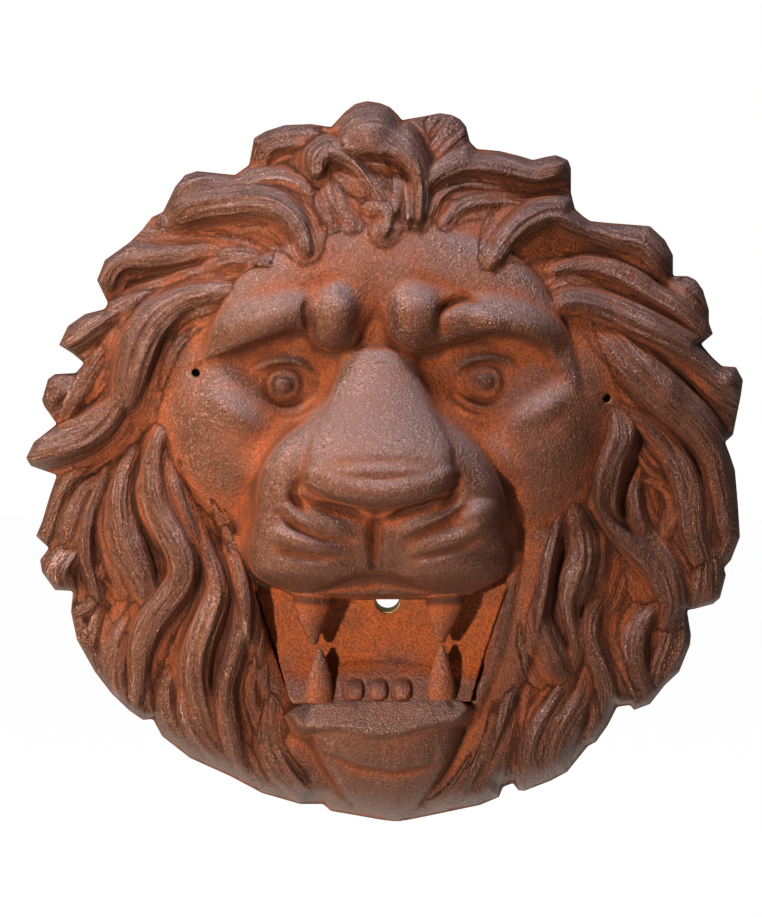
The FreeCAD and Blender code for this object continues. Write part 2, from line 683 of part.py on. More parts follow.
def trough_block(wall):
    """All that lies behind the trough's front, a wall's thickness back."""
    corners = []
    for index, (up, ahead) in enumerate(TROUGH):
        above, below = TROUGH[max(index - 1, 0)], TROUGH[min(index + 1, len(TROUGH) - 1)]
        slope = (below[1] - above[1]) / (above[0] - below[0])
        depth = size("plate_depth") + ahead - wall * math.hypot(1, slope)
        corners.append(Vector(-150, -depth, up))
    corners.append(Vector(-150, 0, TROUGH[-1][0]))
    corners.append(Vector(-150, 0, TROUGH[0][0]))
    return facet(corners).extrude(Vector(300, 0, 0))


flange = feature("flange", mouth_block(size("flange_width"), FLANGE_BACK, FLANGE_FRONT))
trough = common("trough", [
    feature("trough_plug", mouth_block(-size("plate_gap"), FLANGE_BACK, 110)),
    feature("trough_front", trough_block(0)),
])
trough_space = common("trough_space", [
    feature("trough_core", mouth_block(-size("plate_gap") - size("plate_wall"), 0, 110)),
    feature("trough_back", trough_block(size("plate_wall"))),
])
boss = rod("spout_boss", "sizes.boss_size",
           "sizes.plate_depth - sizes.seat_depth + sizes.gasket_thickness + sizes.flange_thickness",
           "sizes.seat_depth - sizes.gasket_thickness - sizes.flange_thickness")

lower_fangs = [
    feature(f"lower_fang_{side}", make_tooth(FACE_X + sign * size("fang_offset"), *LOWER_FANG))
    for side, sign in (("left", -1), ("right", 1))
]


def make_incisor(across):
    """Short tooth with a rounded top, standing on the slope of the gum."""
    top, half = -51.5, 4.4
    corners = [Vector(across - half, -58, -63), Vector(across - half, -58, top)]
    corners += [
        Vector(across - half * math.cos(math.radians(turn)), -58, top + half * math.sin(math.radians(turn)))
        for turn in (30, 60, 90, 120, 150)
    ]
    corners += [Vector(across + half, -58, top), Vector(across + half, -58, -63)]
    return facet(corners).extrude(Vector(0, -18, 0))


INCISORS = [-15.5, 0, 15.5]
incisors = [
    feature(f"incisor_{number}", make_incisor(FACE_X + across))
    for number, across in enumerate(INCISORS, start=1)
]
screw_holes = [
    rod(f"screw_hole_{number}", "sizes.screw_size + sizes.screw_clearance", "sizes.seat_depth + 1", "0",
        across, up)
    for number, (across, up) in enumerate(SCREWS, start=1)
]
BUSH_FRONT = "sizes.plate_depth - sizes.bush_shoulder"
FLANGE_REAR = "sizes.seat_depth - sizes.gasket_thickness - sizes.flange_thickness"
water_hole = rod("water_hole", "sizes.spout_hole", "sizes.plate_depth + 2", "0")
bush_seat = rod("bush_seat", "sizes.bush_size + sizes.bush_clearance", BUSH_FRONT, "0")
plate_body = cut("plate_body", fuse("plate_walls", [flange, trough]), trough_space)
plate_form = fuse("plate_form", [plate_body, boss] + lower_fangs + incisors)
plate_holes = fuse("plate_holes", screw_holes + [water_hole, bush_seat])
mouth_plate = cut("mouth_plate", plate_form, plate_holes)


# Gasket: a flat ring of rubber, the plate's flange outside, the mouth opening inside

def outline_expressions(margin):
    """The mouth outline's corners as expressions, as mouth_outline has them in numbers."""
    slope = "(sizes.half_top - sizes.half_bend) / (sizes.mouth_top - sizes.mouth_bend)"
    side = f"({margin}) * sqrt(1 + ({slope}) ^ 2)"
    upper = f"sizes.mouth_top + {margin}"
    half_upper = f"(sizes.half_bend + {slope} * ({upper} - sizes.mouth_bend) + {side})"
    half_bend = f"(sizes.half_bend + {side})"
    half_lower = f"(sizes.half_bottom + {margin})"
    lower = f"sizes.mouth_bottom - ({margin})"
    return [
        (f"sizes.face_axis - {half_upper}", upper),
        (f"sizes.face_axis - {half_bend}", "sizes.mouth_bend"),
        (f"sizes.face_axis - {half_lower}", lower),
        (f"sizes.face_axis + {half_lower}", lower),
        (f"sizes.face_axis + {half_bend}", "sizes.mouth_bend"),
        (f"sizes.face_axis + {half_upper}", upper),
    ]


def draw_outline(sketch, margin_name, margin):
    """Closed polygon whose corners are bound to the sheet."""
    corners = mouth_outline(margin, 0)
    first = sketch.GeometryCount
    for start, end in zip(corners, corners[1:] + corners[:1]):
        sketch.addGeometry(Part.LineSegment(Vector(start.x, start.z, 0), Vector(end.x, end.z, 0)), False)
    for index, (across, up) in enumerate(outline_expressions(margin_name)):
        line = first + index
        after = first + (index + 1) % 6
        sketch.addConstraint(Sketcher.Constraint("Coincident", line, 2, after, 1))
        corner = corners[index]
        for kind, value, formula in (("DistanceX", corner.x, across), ("DistanceY", corner.z, up)):
            number = sketch.addConstraint(Sketcher.Constraint(kind, -1, 1, line, 1, value))
            sketch.setExpression(f"Constraints[{number}]", formula)


def front_sketch(body, name, depth):
    """Sketch seen from the front, at a depth before the wall."""
    sketch = body.newObject("Sketcher::SketchObject", name)
    plane = [item for item in body.Origin.OriginFeatures if item.Role == "XZ_Plane"][0]
    sketch.AttachmentSupport = (plane, "")
    sketch.MapMode = "FlatFace"
    sketch.setExpression("AttachmentOffset.Base.z", depth)
    return sketch


plate_gasket = doc.addObject("PartDesign::Body", "plate_gasket")
plate_gasket.Label = "plate_gasket"
gasket_sketch = front_sketch(plate_gasket, "gasket_outline", "sizes.seat_depth - sizes.gasket_thickness")
draw_outline(gasket_sketch, "sizes.flange_width", size("flange_width"))
draw_outline(gasket_sketch, "0", 0)
gasket_pad = plate_gasket.newObject("PartDesign::Pad", "gasket_pad")
gasket_pad.Profile = gasket_sketch
gasket_pad.setExpression("Length", "sizes.gasket_thickness")
doc.recompute()
hole_sketch = front_sketch(plate_gasket, "gasket_holes", "sizes.seat_depth - sizes.gasket_thickness")
for across, up in SCREWS:
    ring = hole_sketch.addGeometry(Part.Circle(Vector(across, up, 0), Vector(0, 0, 1), 3.3), False)
    diameter = hole_sketch.addConstraint(Sketcher.Constraint("Diameter", ring, 6.6))
    hole_sketch.setExpression(f"Constraints[{diameter}]", "sizes.screw_size + sizes.screw_clearance")
gasket_holes = plate_gasket.newObject("PartDesign::Pocket", "gasket_hole_pocket")
gasket_holes.Profile = hole_sketch
gasket_holes.Type = "ThroughAll"
gasket_holes.Midplane = True
doc.recompute()


# Washers and screws behind the flange

WASHER_REAR = FLANGE_REAR + " - sizes.washer_thickness"
washers = []
screws = []
for number, (across, up) in enumerate(SCREWS, start=1):
    disc = rod(f"washer_disc_{number}", "sizes.washer_size", "sizes.washer_thickness", WASHER_REAR,
               across, up)
    hole = rod(f"washer_hole_{number}", "sizes.screw_size + 0.4", "sizes.washer_thickness", WASHER_REAR,
               across, up)
    washers.append(cut(f"washer_{number}", disc, hole))
    head = hexagon(f"screw_head_{number}", "sizes.head_flats", "sizes.head_height",
                   WASHER_REAR + " - sizes.head_height", across, up)
    shank = rod(f"screw_shank_{number}", "sizes.screw_size", "sizes.screw_length", WASHER_REAR, across, up)
    screws.append(fuse(f"screw_{number}", [head, shank]))
plate_washers = group("plate_washers", washers)
plate_screws = group("plate_screws", screws)


# Bush for the water pipe, with its fibre washer

FIBRE_REAR = FLANGE_REAR + " - sizes.fibre_thickness"
barrel = rod("bush_barrel", "sizes.bush_size", f"{BUSH_FRONT} - sizes.bush_end_gap - ({FIBRE_REAR})",
             FIBRE_REAR)
bush_head = hexagon("bush_head", "sizes.bush_flats", "sizes.bush_hexagon",
                    FIBRE_REAR + " - sizes.bush_hexagon")
pipe_bore = rod("pipe_bore", "sizes.spout_bore", "sizes.plate_depth", "0")
spout_bush = cut("spout_bush", fuse("bush_solid", [barrel, bush_head]), pipe_bore)

fibre_disc = rod("fibre_disc", "sizes.bush_flats", "sizes.fibre_thickness", FIBRE_REAR)
fibre_hole = rod("fibre_hole", "sizes.bush_size + 0.4", "sizes.fibre_thickness", FIBRE_REAR)
bush_washer = cut("bush_washer", fibre_disc, fibre_hole)


# Check and write the pieces

doc.recompute()
for item in doc.Objects:
    if "Invalid" in item.State or "Error" in item.State:
        raise RuntimeError(f"{item.Label} failed: {item.State}")

PIECES = [lion_mask, mouth_plate, plate_gasket, plate_screws, plate_washers, spout_bush, bush_washer]
SOLID_COUNTS = {"plate_screws": len(SCREWS), "plate_washers": len(SCREWS)}

os.makedirs("parts", exist_ok=True)
for item in PIECES:
    shape = item.Shape
    if shape.isNull() or not shape.isValid():
        raise RuntimeError(f"{item.Label} has no valid shape")
    if len(shape.Solids) != SOLID_COUNTS.get(item.Label, 1):
        raise RuntimeError(f"{item.Label} has {len(shape.Solids)} solids")
for item in PIECES:
    item.Shape.exportStep(f"parts/{item.Label}.step")
    print(f"{item.Label}: {len(item.Shape.Solids)} solid, {item.Shape.Volume / 1000:.1f} cm3")
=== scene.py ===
"""Garden wall fountain: a lion's mask in cast iron with an open mouth that spouts the water.

The casting's front is drawn as a relief on the photograph's own sight lines: places and widths of locks
and features are pixels of the 762 x 917 photograph (column, row), depths and heights are millimetres
over the wall. The relief and the rear of the CAD casting bound one closed solid.
"""
import functools
import math

import bpy
import numpy as np
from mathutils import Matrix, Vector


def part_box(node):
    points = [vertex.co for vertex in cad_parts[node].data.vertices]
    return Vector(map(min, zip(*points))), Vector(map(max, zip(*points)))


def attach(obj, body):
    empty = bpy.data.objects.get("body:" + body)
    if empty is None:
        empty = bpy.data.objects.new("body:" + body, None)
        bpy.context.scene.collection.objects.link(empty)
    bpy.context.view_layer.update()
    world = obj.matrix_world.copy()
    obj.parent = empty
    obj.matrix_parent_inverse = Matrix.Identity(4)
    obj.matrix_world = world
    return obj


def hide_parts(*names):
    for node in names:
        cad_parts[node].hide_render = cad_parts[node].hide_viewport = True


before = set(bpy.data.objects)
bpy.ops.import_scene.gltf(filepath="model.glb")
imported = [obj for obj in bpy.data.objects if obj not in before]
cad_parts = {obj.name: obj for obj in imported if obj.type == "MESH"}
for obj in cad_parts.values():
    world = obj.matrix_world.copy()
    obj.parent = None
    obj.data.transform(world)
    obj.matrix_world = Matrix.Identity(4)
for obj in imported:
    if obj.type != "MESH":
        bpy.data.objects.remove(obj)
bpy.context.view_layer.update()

import openvdb
from bpy.props import FloatProperty, FloatVectorProperty, PointerProperty
from mathutils import Vector
from mathutils.bvhtree import BVHTree

bl_info = {
    "name": "Garden wall fountain",
    "version": (1, 0, 0),
    "blender": (4, 5, 0),
    "location": "View3D > Sidebar > Fountain",
    "description": "Lion's mask fountain in rusted cast iron, built around its CAD frame",
    "category": "Add Mesh",
}

MM = 0.001
# Start values where the nearest, or the highest, is searched for
FAR = 1e9
NOWHERE = -1e3

# The photograph: its size in pixels, and the camera that took it
COLUMNS, ROWS = 762, 917
VIEW_DISTANCE = 1700.0
VIEW_RISE = math.radians(8.0)
PIXEL = 0.65
AIM = np.array([-4.2, 0.0, 85.1])
LENS = AIM + VIEW_DISTANCE * np.array([0.0, -math.cos(VIEW_RISE), math.sin(VIEW_RISE)])
FOCAL = VIEW_DISTANCE / PIXEL


def seen_at(x, y, z):
    """Column and row of the photograph where a place of the frame, in mm, is seen."""
    across, along, up = x - LENS[0], y - LENS[1], z - LENS[2]
    distance = along * math.cos(VIEW_RISE) - up * math.sin(VIEW_RISE)
    height = along * math.sin(VIEW_RISE) + up * math.cos(VIEW_RISE)
    return COLUMNS / 2 + FOCAL * across / distance, ROWS / 2 - FOCAL * height / distance


def place_at(column, row, depth):
    """Place of the frame, in mm, that is seen at a pixel and lies a depth in front of the wall."""
    across = (column - COLUMNS / 2) / FOCAL
    rise = (ROWS / 2 - row) / FOCAL
    along = math.cos(VIEW_RISE) + rise * math.sin(VIEW_RISE)
    up = rise * math.cos(VIEW_RISE) - math.sin(VIEW_RISE)
    reach = (-depth - LENS[1]) / along
    return LENS[0] + reach * across, -depth, LENS[2] + reach * up


# Relief drawing

# Part of the photograph that the relief covers, in pixels
DRAWN_LEFT, DRAWN_TOP, DRAWN_RIGHT, DRAWN_BOTTOM = 10, 84, 758, 840
# Depth in mm of the hollows between a lock's strands
STRAND_HOLLOW = 3.2
# Distance in mm between two locks' grain, so that no two look alike
LOCK_APART = 90.0


def smooth_curve(points, count):
    """A curve through the points, at evenly spread shares of its way (Catmull-Rom)."""
    points = np.asarray(points, float)
    ends = np.vstack([2 * points[0] - points[1], points, 2 * points[-1] - points[-2]])
    way = np.linspace(0, len(points) - 1, count)
    span = np.minimum(way.astype(int), len(points) - 2)
    share = (way - span)[:, None]
    before, start, end, after = ends[span], ends[span + 1], ends[span + 2], ends[span + 3]
    return 0.5 * (2 * start + (end - before) * share
                  + (2 * before - 5 * start + 4 * end - after) * share ** 2
                  + (3 * start - before - 3 * end + after) * share ** 3)


def spread(values, share):
    """Values listed from start to end, read at a share of the way."""
    values = np.atleast_1d(np.asarray(values, float))
    return np.interp(share, np.linspace(0, 1, len(values)), values)


def soft_max(first, second, blend):
    """The higher of two surfaces, with a fillet where they meet."""
    return np.maximum(first, second) + np.maximum(blend - np.abs(first - second), 0) ** 2 / (4 * blend)


def blurred(values, reach):
    """Three passes of a box of the given reach, which is close to a Gaussian."""
    for _ in range(3):
        for axis in (0, 1):
            padding = [(reach + 1, reach) if side == axis else (0, 0) for side in (0, 1)]
            total = np.cumsum(np.pad(values, padding, mode="edge"), axis=axis)
            width = 2 * reach + 1
            ahead = np.take(total, range(width, total.shape[axis]), axis=axis)
            behind = np.take(total, range(0, total.shape[axis] - width), axis=axis)
            values = (ahead - behind) / width
    return values


class Relief:
    """Depth of the casting's front over the wall along each sight line."""

    def __init__(self):
        self.left, self.top = DRAWN_LEFT, DRAWN_TOP
        columns, rows = np.arange(DRAWN_LEFT, DRAWN_RIGHT), np.arange(DRAWN_TOP, DRAWN_BOTTOM)
        self.column, self.row = np.meshgrid(columns.astype(float), rows.astype(float))
        self.depth = np.zeros(self.column.shape)
        self.hair, self.across, self.down = (np.zeros(self.column.shape) for _ in range(3))

    def window(self, path, reach):
        """Rows and columns of the map that lie within a reach of a path."""
        low = np.floor(path.min(axis=0) - reach).astype(int) - (self.left, self.top)
        high = np.ceil(path.max(axis=0) + reach).astype(int) - (self.left, self.top) + 1
        low = np.maximum(low, 0)
        return slice(low[1], high[1]), slice(low[0], high[0])

    def along(self, way, halves, margin=10.0):
        """Window around a way, with each sight line's offset from it in half widths (left of the way
        is positive) and its share of the way."""
        path = smooth_curve(way, 6 * len(way))
        widths = spread(halves, np.linspace(0, 1, len(path)))
        window = self.window(path, widths.max() + margin)
        column, row = self.column[window], self.row[window]
        nearest = np.full(column.shape, FAR)
        share = np.zeros(column.shape)
        side = np.ones(column.shape)
        for step in range(len(path) - 1):
            (start_x, start_y), (end_x, end_y) = path[step], path[step + 1]
            run_x, run_y = end_x - start_x, end_y - start_y
            part = ((column - start_x) * run_x + (row - start_y) * run_y) / (run_x ** 2 + run_y ** 2)
            part = np.clip(part, 0, 1)
            off_x, off_y = column - start_x - part * run_x, row - start_y - part * run_y
            half = widths[step] + (widths[step + 1] - widths[step]) * part
            offset = (off_x ** 2 + off_y ** 2) / half ** 2
            closer = offset < nearest
            nearest = np.where(closer, offset, nearest)
            share = np.where(closer, (step + part) / (len(path) - 1), share)
            side = np.where(closer, np.sign(off_x * run_y - off_y * run_x), side)
        return window, np.sqrt(nearest) * side, share

    def around(self, column, row, half_width, half_height, turn=0.0):
        """Distance of each sight line from a middle, in half widths and half heights."""
        angle = math.radians(turn)
        off_x, off_y = self.column - column, self.row - row
        return np.hypot((off_x * math.cos(angle) + off_y * math.sin(angle)) / half_width,
                        (off_y * math.cos(angle) - off_x * math.sin(angle)) / half_height)

    def mound(self, column, row, half_width, half_height, top, rise, turn=0.0, fullness=2.0, blend=5.0):
        """A rounded form of its own that joins the surface with a fillet."""
        away = self.around(column, row, half_width, half_height, turn)
        surface = top - rise * away ** fullness
        self.depth = soft_max(self.depth, surface, blend)

    def dent(self, column, row, half_width, half_height, sink, fullness=2.0):
        """Sink the surface softly around a middle."""
        away = self.around(column, row, half_width, half_height)
        self.depth -= sink * np.exp(-away ** fullness)

    def swell(self, column, row, half_width, half_height, rise, turn=0.0, edge=0.8):
        """Raise the surface by a cushion; the smaller the edge's number, the sharper its border."""
        away = self.around(column, row, half_width, half_height, turn)
        self.depth += rise * np.maximum(1 - away ** 2, 0) ** edge

    def loft(self, sections, fall, fullness=2.5, blend=5.0, outside=60.0, past_end=1.2):
        """A form given row by row: (row, left column, right column, depth on its middle). Past its sides
        it goes down by the outside slope for every half width, past its ends by millimetres a row."""
        fine = smooth_curve(sections, 12 * len(sections))
        left, right, top = (np.interp(self.row, fine[:, 0], fine[:, number]) for number in (1, 2, 3))
        offset = np.abs(self.column - (left + right) / 2) / ((right - left) / 2)
        past = np.maximum(fine[0, 0] - self.row, 0) + np.maximum(self.row - fine[-1, 0], 0)
        inside = 1 - (1 - np.minimum(offset, 1) ** fullness) ** (1 / fullness)
        surface = top - fall * inside - outside * np.maximum(offset - 1, 0) - past_end * past
        self.depth = soft_max(self.depth, surface, blend)

    def band(self, way, halves, tops, fall, fullness=2.0, blend=4.0):
        """A round-backed band along a way, with depths listed along it."""
        window, offset, share = self.along(way, halves)
        offset = np.abs(offset)
        inside = 1 - (1 - np.minimum(offset, 1) ** fullness) ** (1 / fullness)
        surface = spread(tops, share) - fall * inside - 40 * np.maximum(offset - 1, 0)
        self.depth[window] = soft_max(self.depth[window], surface, blend)

    def groove(self, way, halves, sinks):
        """A soft furrow along a way."""
        window, offset, share = self.along(way, halves, 3 * np.max(halves))
        self.depth[window] -= spread(sinks, share) * np.exp(-(1.4 * offset) ** 2)

    def overhang(self, way, reach, sinks, edge):
        """The surface steps back on the right of a way, sharply at it, and comes out again."""
        window, offset, share = self.along(way, reach, 2 * np.max(reach))
        below = np.maximum(-offset, 0)
        step = np.clip(below / edge, 0, 1)
        self.depth[window] -= spread(sinks, share) * step * step * (3 - 2 * step) * np.exp(-below ** 2)

    def lock(self, bed, way, halves, heights, strands, flow):
        """A lock of hair on a bed: round across, with hollows between its strands. Each sight line keeps
        where on the lock it is, in mm across and down the lock, for the strands' grain."""
        window, offset, share = self.along(way, halves)
        inside = np.abs(offset) < 1
        height = spread(heights, share)
        for strand in range(strands):
            middle = 0.9 * (2 * (strand + 1) / (strands + 1) - 1)
            middle = middle + 0.1 * np.sin(3 * share + 2 * strand + flow)
            fade = np.clip(share / 0.15, 0, 1) * np.clip((1.02 - share) / 0.25, 0.15, 1)
            hollow = np.exp(-((offset - middle) / (0.5 / (strands + 1))) ** 2)
            height = height - STRAND_HOLLOW * hollow * fade
        round_back = np.sqrt(np.maximum(1 - np.abs(offset) ** 2.6, 0))
        surface = np.where(inside, bed[window] + height * round_back, NOWHERE)
        higher = surface > self.depth[window]
        self.depth[window] = np.maximum(self.depth[window], surface)
        length = sum(math.dist(start, end) for start, end in zip(way, way[1:])) * PIXEL
        across = offset * spread(halves, share) * PIXEL
        down = share * length + LOCK_APART * flow
        for kept, value in ((self.hair, 1.0), (self.across, across), (self.down, down)):
            kept[window] = np.where(higher, value, kept[window])


# Mane and face, traced on the photograph

# Dome under the mane: middle and radius in pixels, foot and rise in mm, and the brim that takes over
# near the outline, in mm
DOME_COLUMN, DOME_ROW, DOME_RADIUS = 385, 475, 308
DOME_FOOT, DOME_RISE = 15.0, 47.0
BRIM_DEPTH, BRIM_FALL, BRIM_REACH = 24.0, 13.0, 8.0


def draw_base(relief):
    """The dome that the mane lies on, with the skull and the jaws that rise from it."""
    away = np.hypot(relief.column - DOME_COLUMN, relief.row - DOME_ROW) / DOME_RADIUS
    dome = DOME_FOOT + DOME_RISE * (1 - away ** 2.4)
    brim = BRIM_DEPTH - BRIM_FALL * np.exp(-np.maximum(relief.rim, 0) / BRIM_REACH)
    relief.depth = np.maximum(dome, brim)
    relief.mound(388, 330, 190, 172, 86, 46, fullness=2.4, blend=12)
    relief.mound(381, 633, 186, 152, 61, 14, fullness=2.4, blend=12)


def draw_skull(relief):
    """Forehead, temples and jaws as one form, with the sockets sunk in it."""
    relief.loft([
        (228, 312, 462, 75), (250, 268, 508, 80), (280, 236, 540, 85), (320, 214, 562, 88),
        (360, 203, 577, 86), (400, 198, 584, 82), (440, 200, 583, 78), (480, 207, 573, 75),
        (520, 222, 561, 71), (560, 240, 546, 67), (600, 250, 534, 63), (660, 262, 520, 60),
        (720, 280, 497, 58), (770, 302, 470, 56), (800, 330, 440, 50),
    ], fall=26, fullness=2.5, blend=5)
    relief.dent(284, 388, 58, 36, 14, fullness=2.6)
    relief.dent(488, 385, 58, 36, 14, fullness=2.6)
    relief.dent(375, 322, 14, 44, 5)


def draw_cheeks(relief):
    """Round cheeks under the eyes, each with a soft fold from the eye's outer corner."""
    relief.mound(243, 440, 44, 62, 86, 12, turn=-14, fullness=2.0, blend=16)
    relief.mound(535, 438, 45, 64, 86, 12, turn=14, fullness=2.0, blend=16)
    relief.swell(236, 414, 46, 20, 4, turn=34, edge=2)
    relief.swell(542, 410, 46, 20, 4, turn=-34, edge=2)


def draw_brows(relief):
    """Each brow swells over its eye, ends in a round bulb beside the nose and overhangs the socket."""
    relief.swell(266, 322, 60, 30, 11, turn=-20, edge=1.2)
    relief.swell(512, 325, 60, 29, 12, turn=20, edge=1.2)
    relief.overhang([(216, 356), (240, 347), (265, 338), (291, 330), (312, 334)], 26,
                    [5, 12, 14, 13, 5], edge=0.1)
    relief.overhang([(446, 344), (468, 338), (492, 331), (520, 334), (545, 345), (556, 362)], 26,
                    [4, 11, 14, 14, 11, 5], edge=0.1)
    relief.mound(337, 316, 27, 35, 101, 18, turn=6, fullness=2.4, blend=6)
    relief.mound(417, 315, 32, 35, 101, 18, turn=-4, fullness=2.4, blend=6)
    relief.swell(474, 323, 36, 21, 7, turn=10, edge=0.9)
    relief.overhang([(308, 334), (320, 346), (337, 351), (354, 345), (364, 326)], 20,
                    [3, 9, 11, 9, 3], edge=0.12)
    relief.overhang([(386, 324), (394, 340), (414, 350), (434, 350), (448, 344)], 20,
                    [3, 9, 11, 10, 5], edge=0.12)
    relief.groove([(482, 303), (466, 300), (450, 304), (441, 314), (439, 330)],
                  [4, 5, 6, 5, 4], [1, 5, 7, 6, 3])
    relief.groove([(309, 296), (306, 308), (308, 322), (312, 334)], [4, 5, 5, 4], [1, 5, 6, 3])
    relief.groove([(286, 300), (320, 282), (350, 276)], [7, 8, 7], [0, 2, 0])
    relief.groove([(400, 276), (430, 280), (466, 296)], [7, 8, 6], [0, 2, 1])


# Pupils: column, row, and the side that the eye's outer corner is on
EYES = [(285, 385, -1), (486, 382, 1)]
# Rings cut in the eyeball: radius and half width in pixels, sink in mm
EYE_RINGS = [(18.5, 3.0, 3.4), (10.0, 2.6, 3.2)]
# Eyelid folds: outwards and down from the pupil in pixels, depths
EYELIDS = [
    ([(40, -4), (26, -17), (4, -24), (-16, -21), (-32, -8)], [66, 73, 77, 77, 73]),
    ([(36, 14), (22, 23), (4, 27), (-14, 24), (-30, 12)], [67, 73, 76, 77, 74]),
    ([(34, 24), (18, 33), (2, 36), (-14, 34), (-28, 26)], [69, 75, 77, 78, 77]),
]


def draw_eyes(relief):
    """Each ball has a ring around the iris and one around the pupil, between its lids."""
    for column, row, out in EYES:
        relief.mound(column, row, 33, 23, 77, 9, fullness=2.2, blend=3)
        away = relief.around(column, row, 1, 1)
        relief.depth -= sum(sink * np.exp(-((away - radius) / half) ** 2) for radius, half, sink in EYE_RINGS)
        for lid, tops in EYELIDS:
            way = [(column + out * outwards, row + down) for outwards, down in lid]
            relief.band(way, [2.0, 3.6, 4.0, 3.6, 2.0], tops, 2.5, blend=4)


def draw_nose(relief):
    """The bridge widens down to a broad flat tip."""
    relief.swell(378, 360, 44, 13, 3)
    relief.loft([
        (350, 340, 418, 80), (366, 340, 418, 91), (385, 334, 425, 101), (405, 326, 433, 111),
        (425, 317, 443, 122), (445, 309, 452, 132), (460, 307, 454, 138), (472, 307, 453, 141),
        (482, 311, 449, 139), (492, 320, 440, 134), (504, 335, 420, 128),
    ], fall=20, fullness=2.0, blend=18, outside=50, past_end=4)
    relief.band([(313, 478), (333, 486), (358, 491), (383, 493), (408, 490), (430, 485), (447, 476)],
                [10, 12, 13, 13, 13, 12, 10], [131, 139, 143, 144, 143, 139, 132], 10, blend=9)


# Folds of the muzzle: column, row, half width, half height, turn, height over the muzzle
WHISKER_PADS = [
    (318, 522, 42, 13, 22, 5), (308, 545, 50, 17, 12, 8), (306, 572, 58, 20, 2, 9),
    (430, 522, 40, 14, -26, 6), (482, 517, 24, 19, -10, 8), (452, 545, 54, 17, -18, 8),
    (452, 571, 56, 20, -5, 9),
]


def draw_muzzle(relief):
    """Two full halves with whisker folds, the nostrils' edge and the cleft under the nose."""
    relief.loft([
        (396, 322, 436, 94), (420, 302, 454, 108), (442, 278, 476, 117), (465, 263, 492, 121),
        (490, 257, 502, 122), (515, 257, 504, 121), (535, 253, 507, 119), (552, 249, 509, 115),
        (568, 251, 507, 110), (580, 262, 498, 105), (592, 285, 476, 96),
    ], fall=36, fullness=2.8, blend=6, outside=150, past_end=4)
    for column, row, half_width, half_height, turn, rise in WHISKER_PADS:
        relief.swell(column, row, half_width, half_height, rise, turn=turn, edge=1.1)
    relief.overhang([(304, 497), (330, 502), (352, 507), (364, 514), (377, 518), (390, 514), (402, 507),
                     (428, 499), (448, 494)], 13, [4, 9, 9, 7, 4, 7, 9, 9, 4], edge=0.18)
    relief.groove([(303, 476), (295, 490), (298, 506), (314, 518), (340, 526)],
                  [6, 7, 8, 7, 5], [2, 6, 7, 4, 0])
    relief.groove([(452, 474), (456, 488), (448, 504), (430, 515), (404, 526)],
                  [6, 7, 8, 7, 5], [2, 6, 7, 4, 0])
    relief.groove([(377, 514), (375, 536), (376, 566)], [9, 9, 8], [4, 10, 6])
    relief.groove([(322, 471), (345, 464), (380, 462), (415, 464), (441, 471)],
                  [7, 8, 8, 8, 7], [0, 1.6, 1.8, 1.6, 0])
    relief.groove([(268, 540), (290, 553), (318, 559), (346, 556)], [6, 6, 6, 5], [2, 6, 6, 1])
    relief.groove([(278, 512), (296, 528), (322, 539), (350, 543)], [5, 6, 6, 4], [3, 6, 5, 1])
    relief.groove([(408, 560), (436, 556), (466, 546), (500, 528)], [5, 6, 6, 6], [1, 6, 6, 3])
    relief.groove([(404, 540), (424, 533), (446, 523), (466, 508)], [5, 6, 6, 5], [1, 6, 6, 3])


# Lower edge of the muzzle, the columns that the lip behind it ends at, and that lip: half width in
# pixels, depth at the edge and fall in mm for each half width
MUZZLE_EDGE = [
    (246, 574), (266, 589), (292, 596), (316, 589), (340, 580), (362, 574), (384, 573), (406, 580),
    (430, 588), (458, 595), (484, 589), (512, 566),
]
LIP_LEFT, LIP_RIGHT = 262, 496
LIP_HALF, LIP_DEPTH, LIP_FALL = 16, 84.0, 4.0


def draw_lip(relief):
    """The muzzle's lower edge hangs over the lip that the fangs stand in."""
    window, offset, _ = relief.along(MUZZLE_EDGE, LIP_HALF, 30)
    below = np.clip(-offset / 0.12, 0, 1)
    lip = LIP_DEPTH - LIP_FALL * np.clip(-offset, 0, 3)
    depth, column = relief.depth[window], relief.column[window]
    inner = (column > LIP_LEFT) & (column < LIP_RIGHT) & (-offset < 3.2)
    relief.depth[window] = np.where(inner, depth + (np.minimum(lip, depth) - depth) * below, depth)


def draw_jaws(relief):
    """Two bands from the muzzle down to the chin frame the mouth, with a ridge inside the right one."""
    relief.band([(240, 548), (250, 600), (262, 655), (279, 705), (300, 748), (330, 786)],
                [18, 12, 12, 13, 20, 26], [70, 64, 61, 60, 62, 56], 12, fullness=2.4)
    relief.band([(534, 545), (524, 600), (511, 655), (492, 705), (468, 750), (440, 786)],
                [24, 22, 22, 22, 22, 22], [68, 65, 62, 61, 61, 56], 12, fullness=2.4)
    relief.band([(516, 556), (511, 590), (501, 640), (489, 676), (472, 712)], [7, 7, 7, 7, 8],
                [72, 68, 65, 64, 66], 6)


# Furrows of the beard on the chin
CHIN_FURROWS = [
    [(336, 742), (344, 762), (350, 782), (362, 800)], [(354, 756), (360, 774), (370, 790), (380, 806)],
    [(384, 762), (384, 778), (388, 794), (390, 810)], [(414, 754), (412, 770), (404, 788), (398, 806)],
    [(438, 742), (432, 762), (424, 780), (414, 796)], [(322, 736), (326, 756), (334, 774), (342, 788)],
]

# Crest of the lower lip, its depths along it, and how steeply it falls towards the chin and the mouth,
# in mm for each half width
LIP_CREST = [
    (290, 712), (302, 727), (320, 729), (343, 729), (372, 736), (402, 734), (425, 727), (456, 720),
    (470, 706),
]
LIP_TOPS = [78, 83, 85, 87, 90, 90, 88, 85, 79]
CHIN_SLOPE, MOUTH_SLOPE = 20.0, 4.2


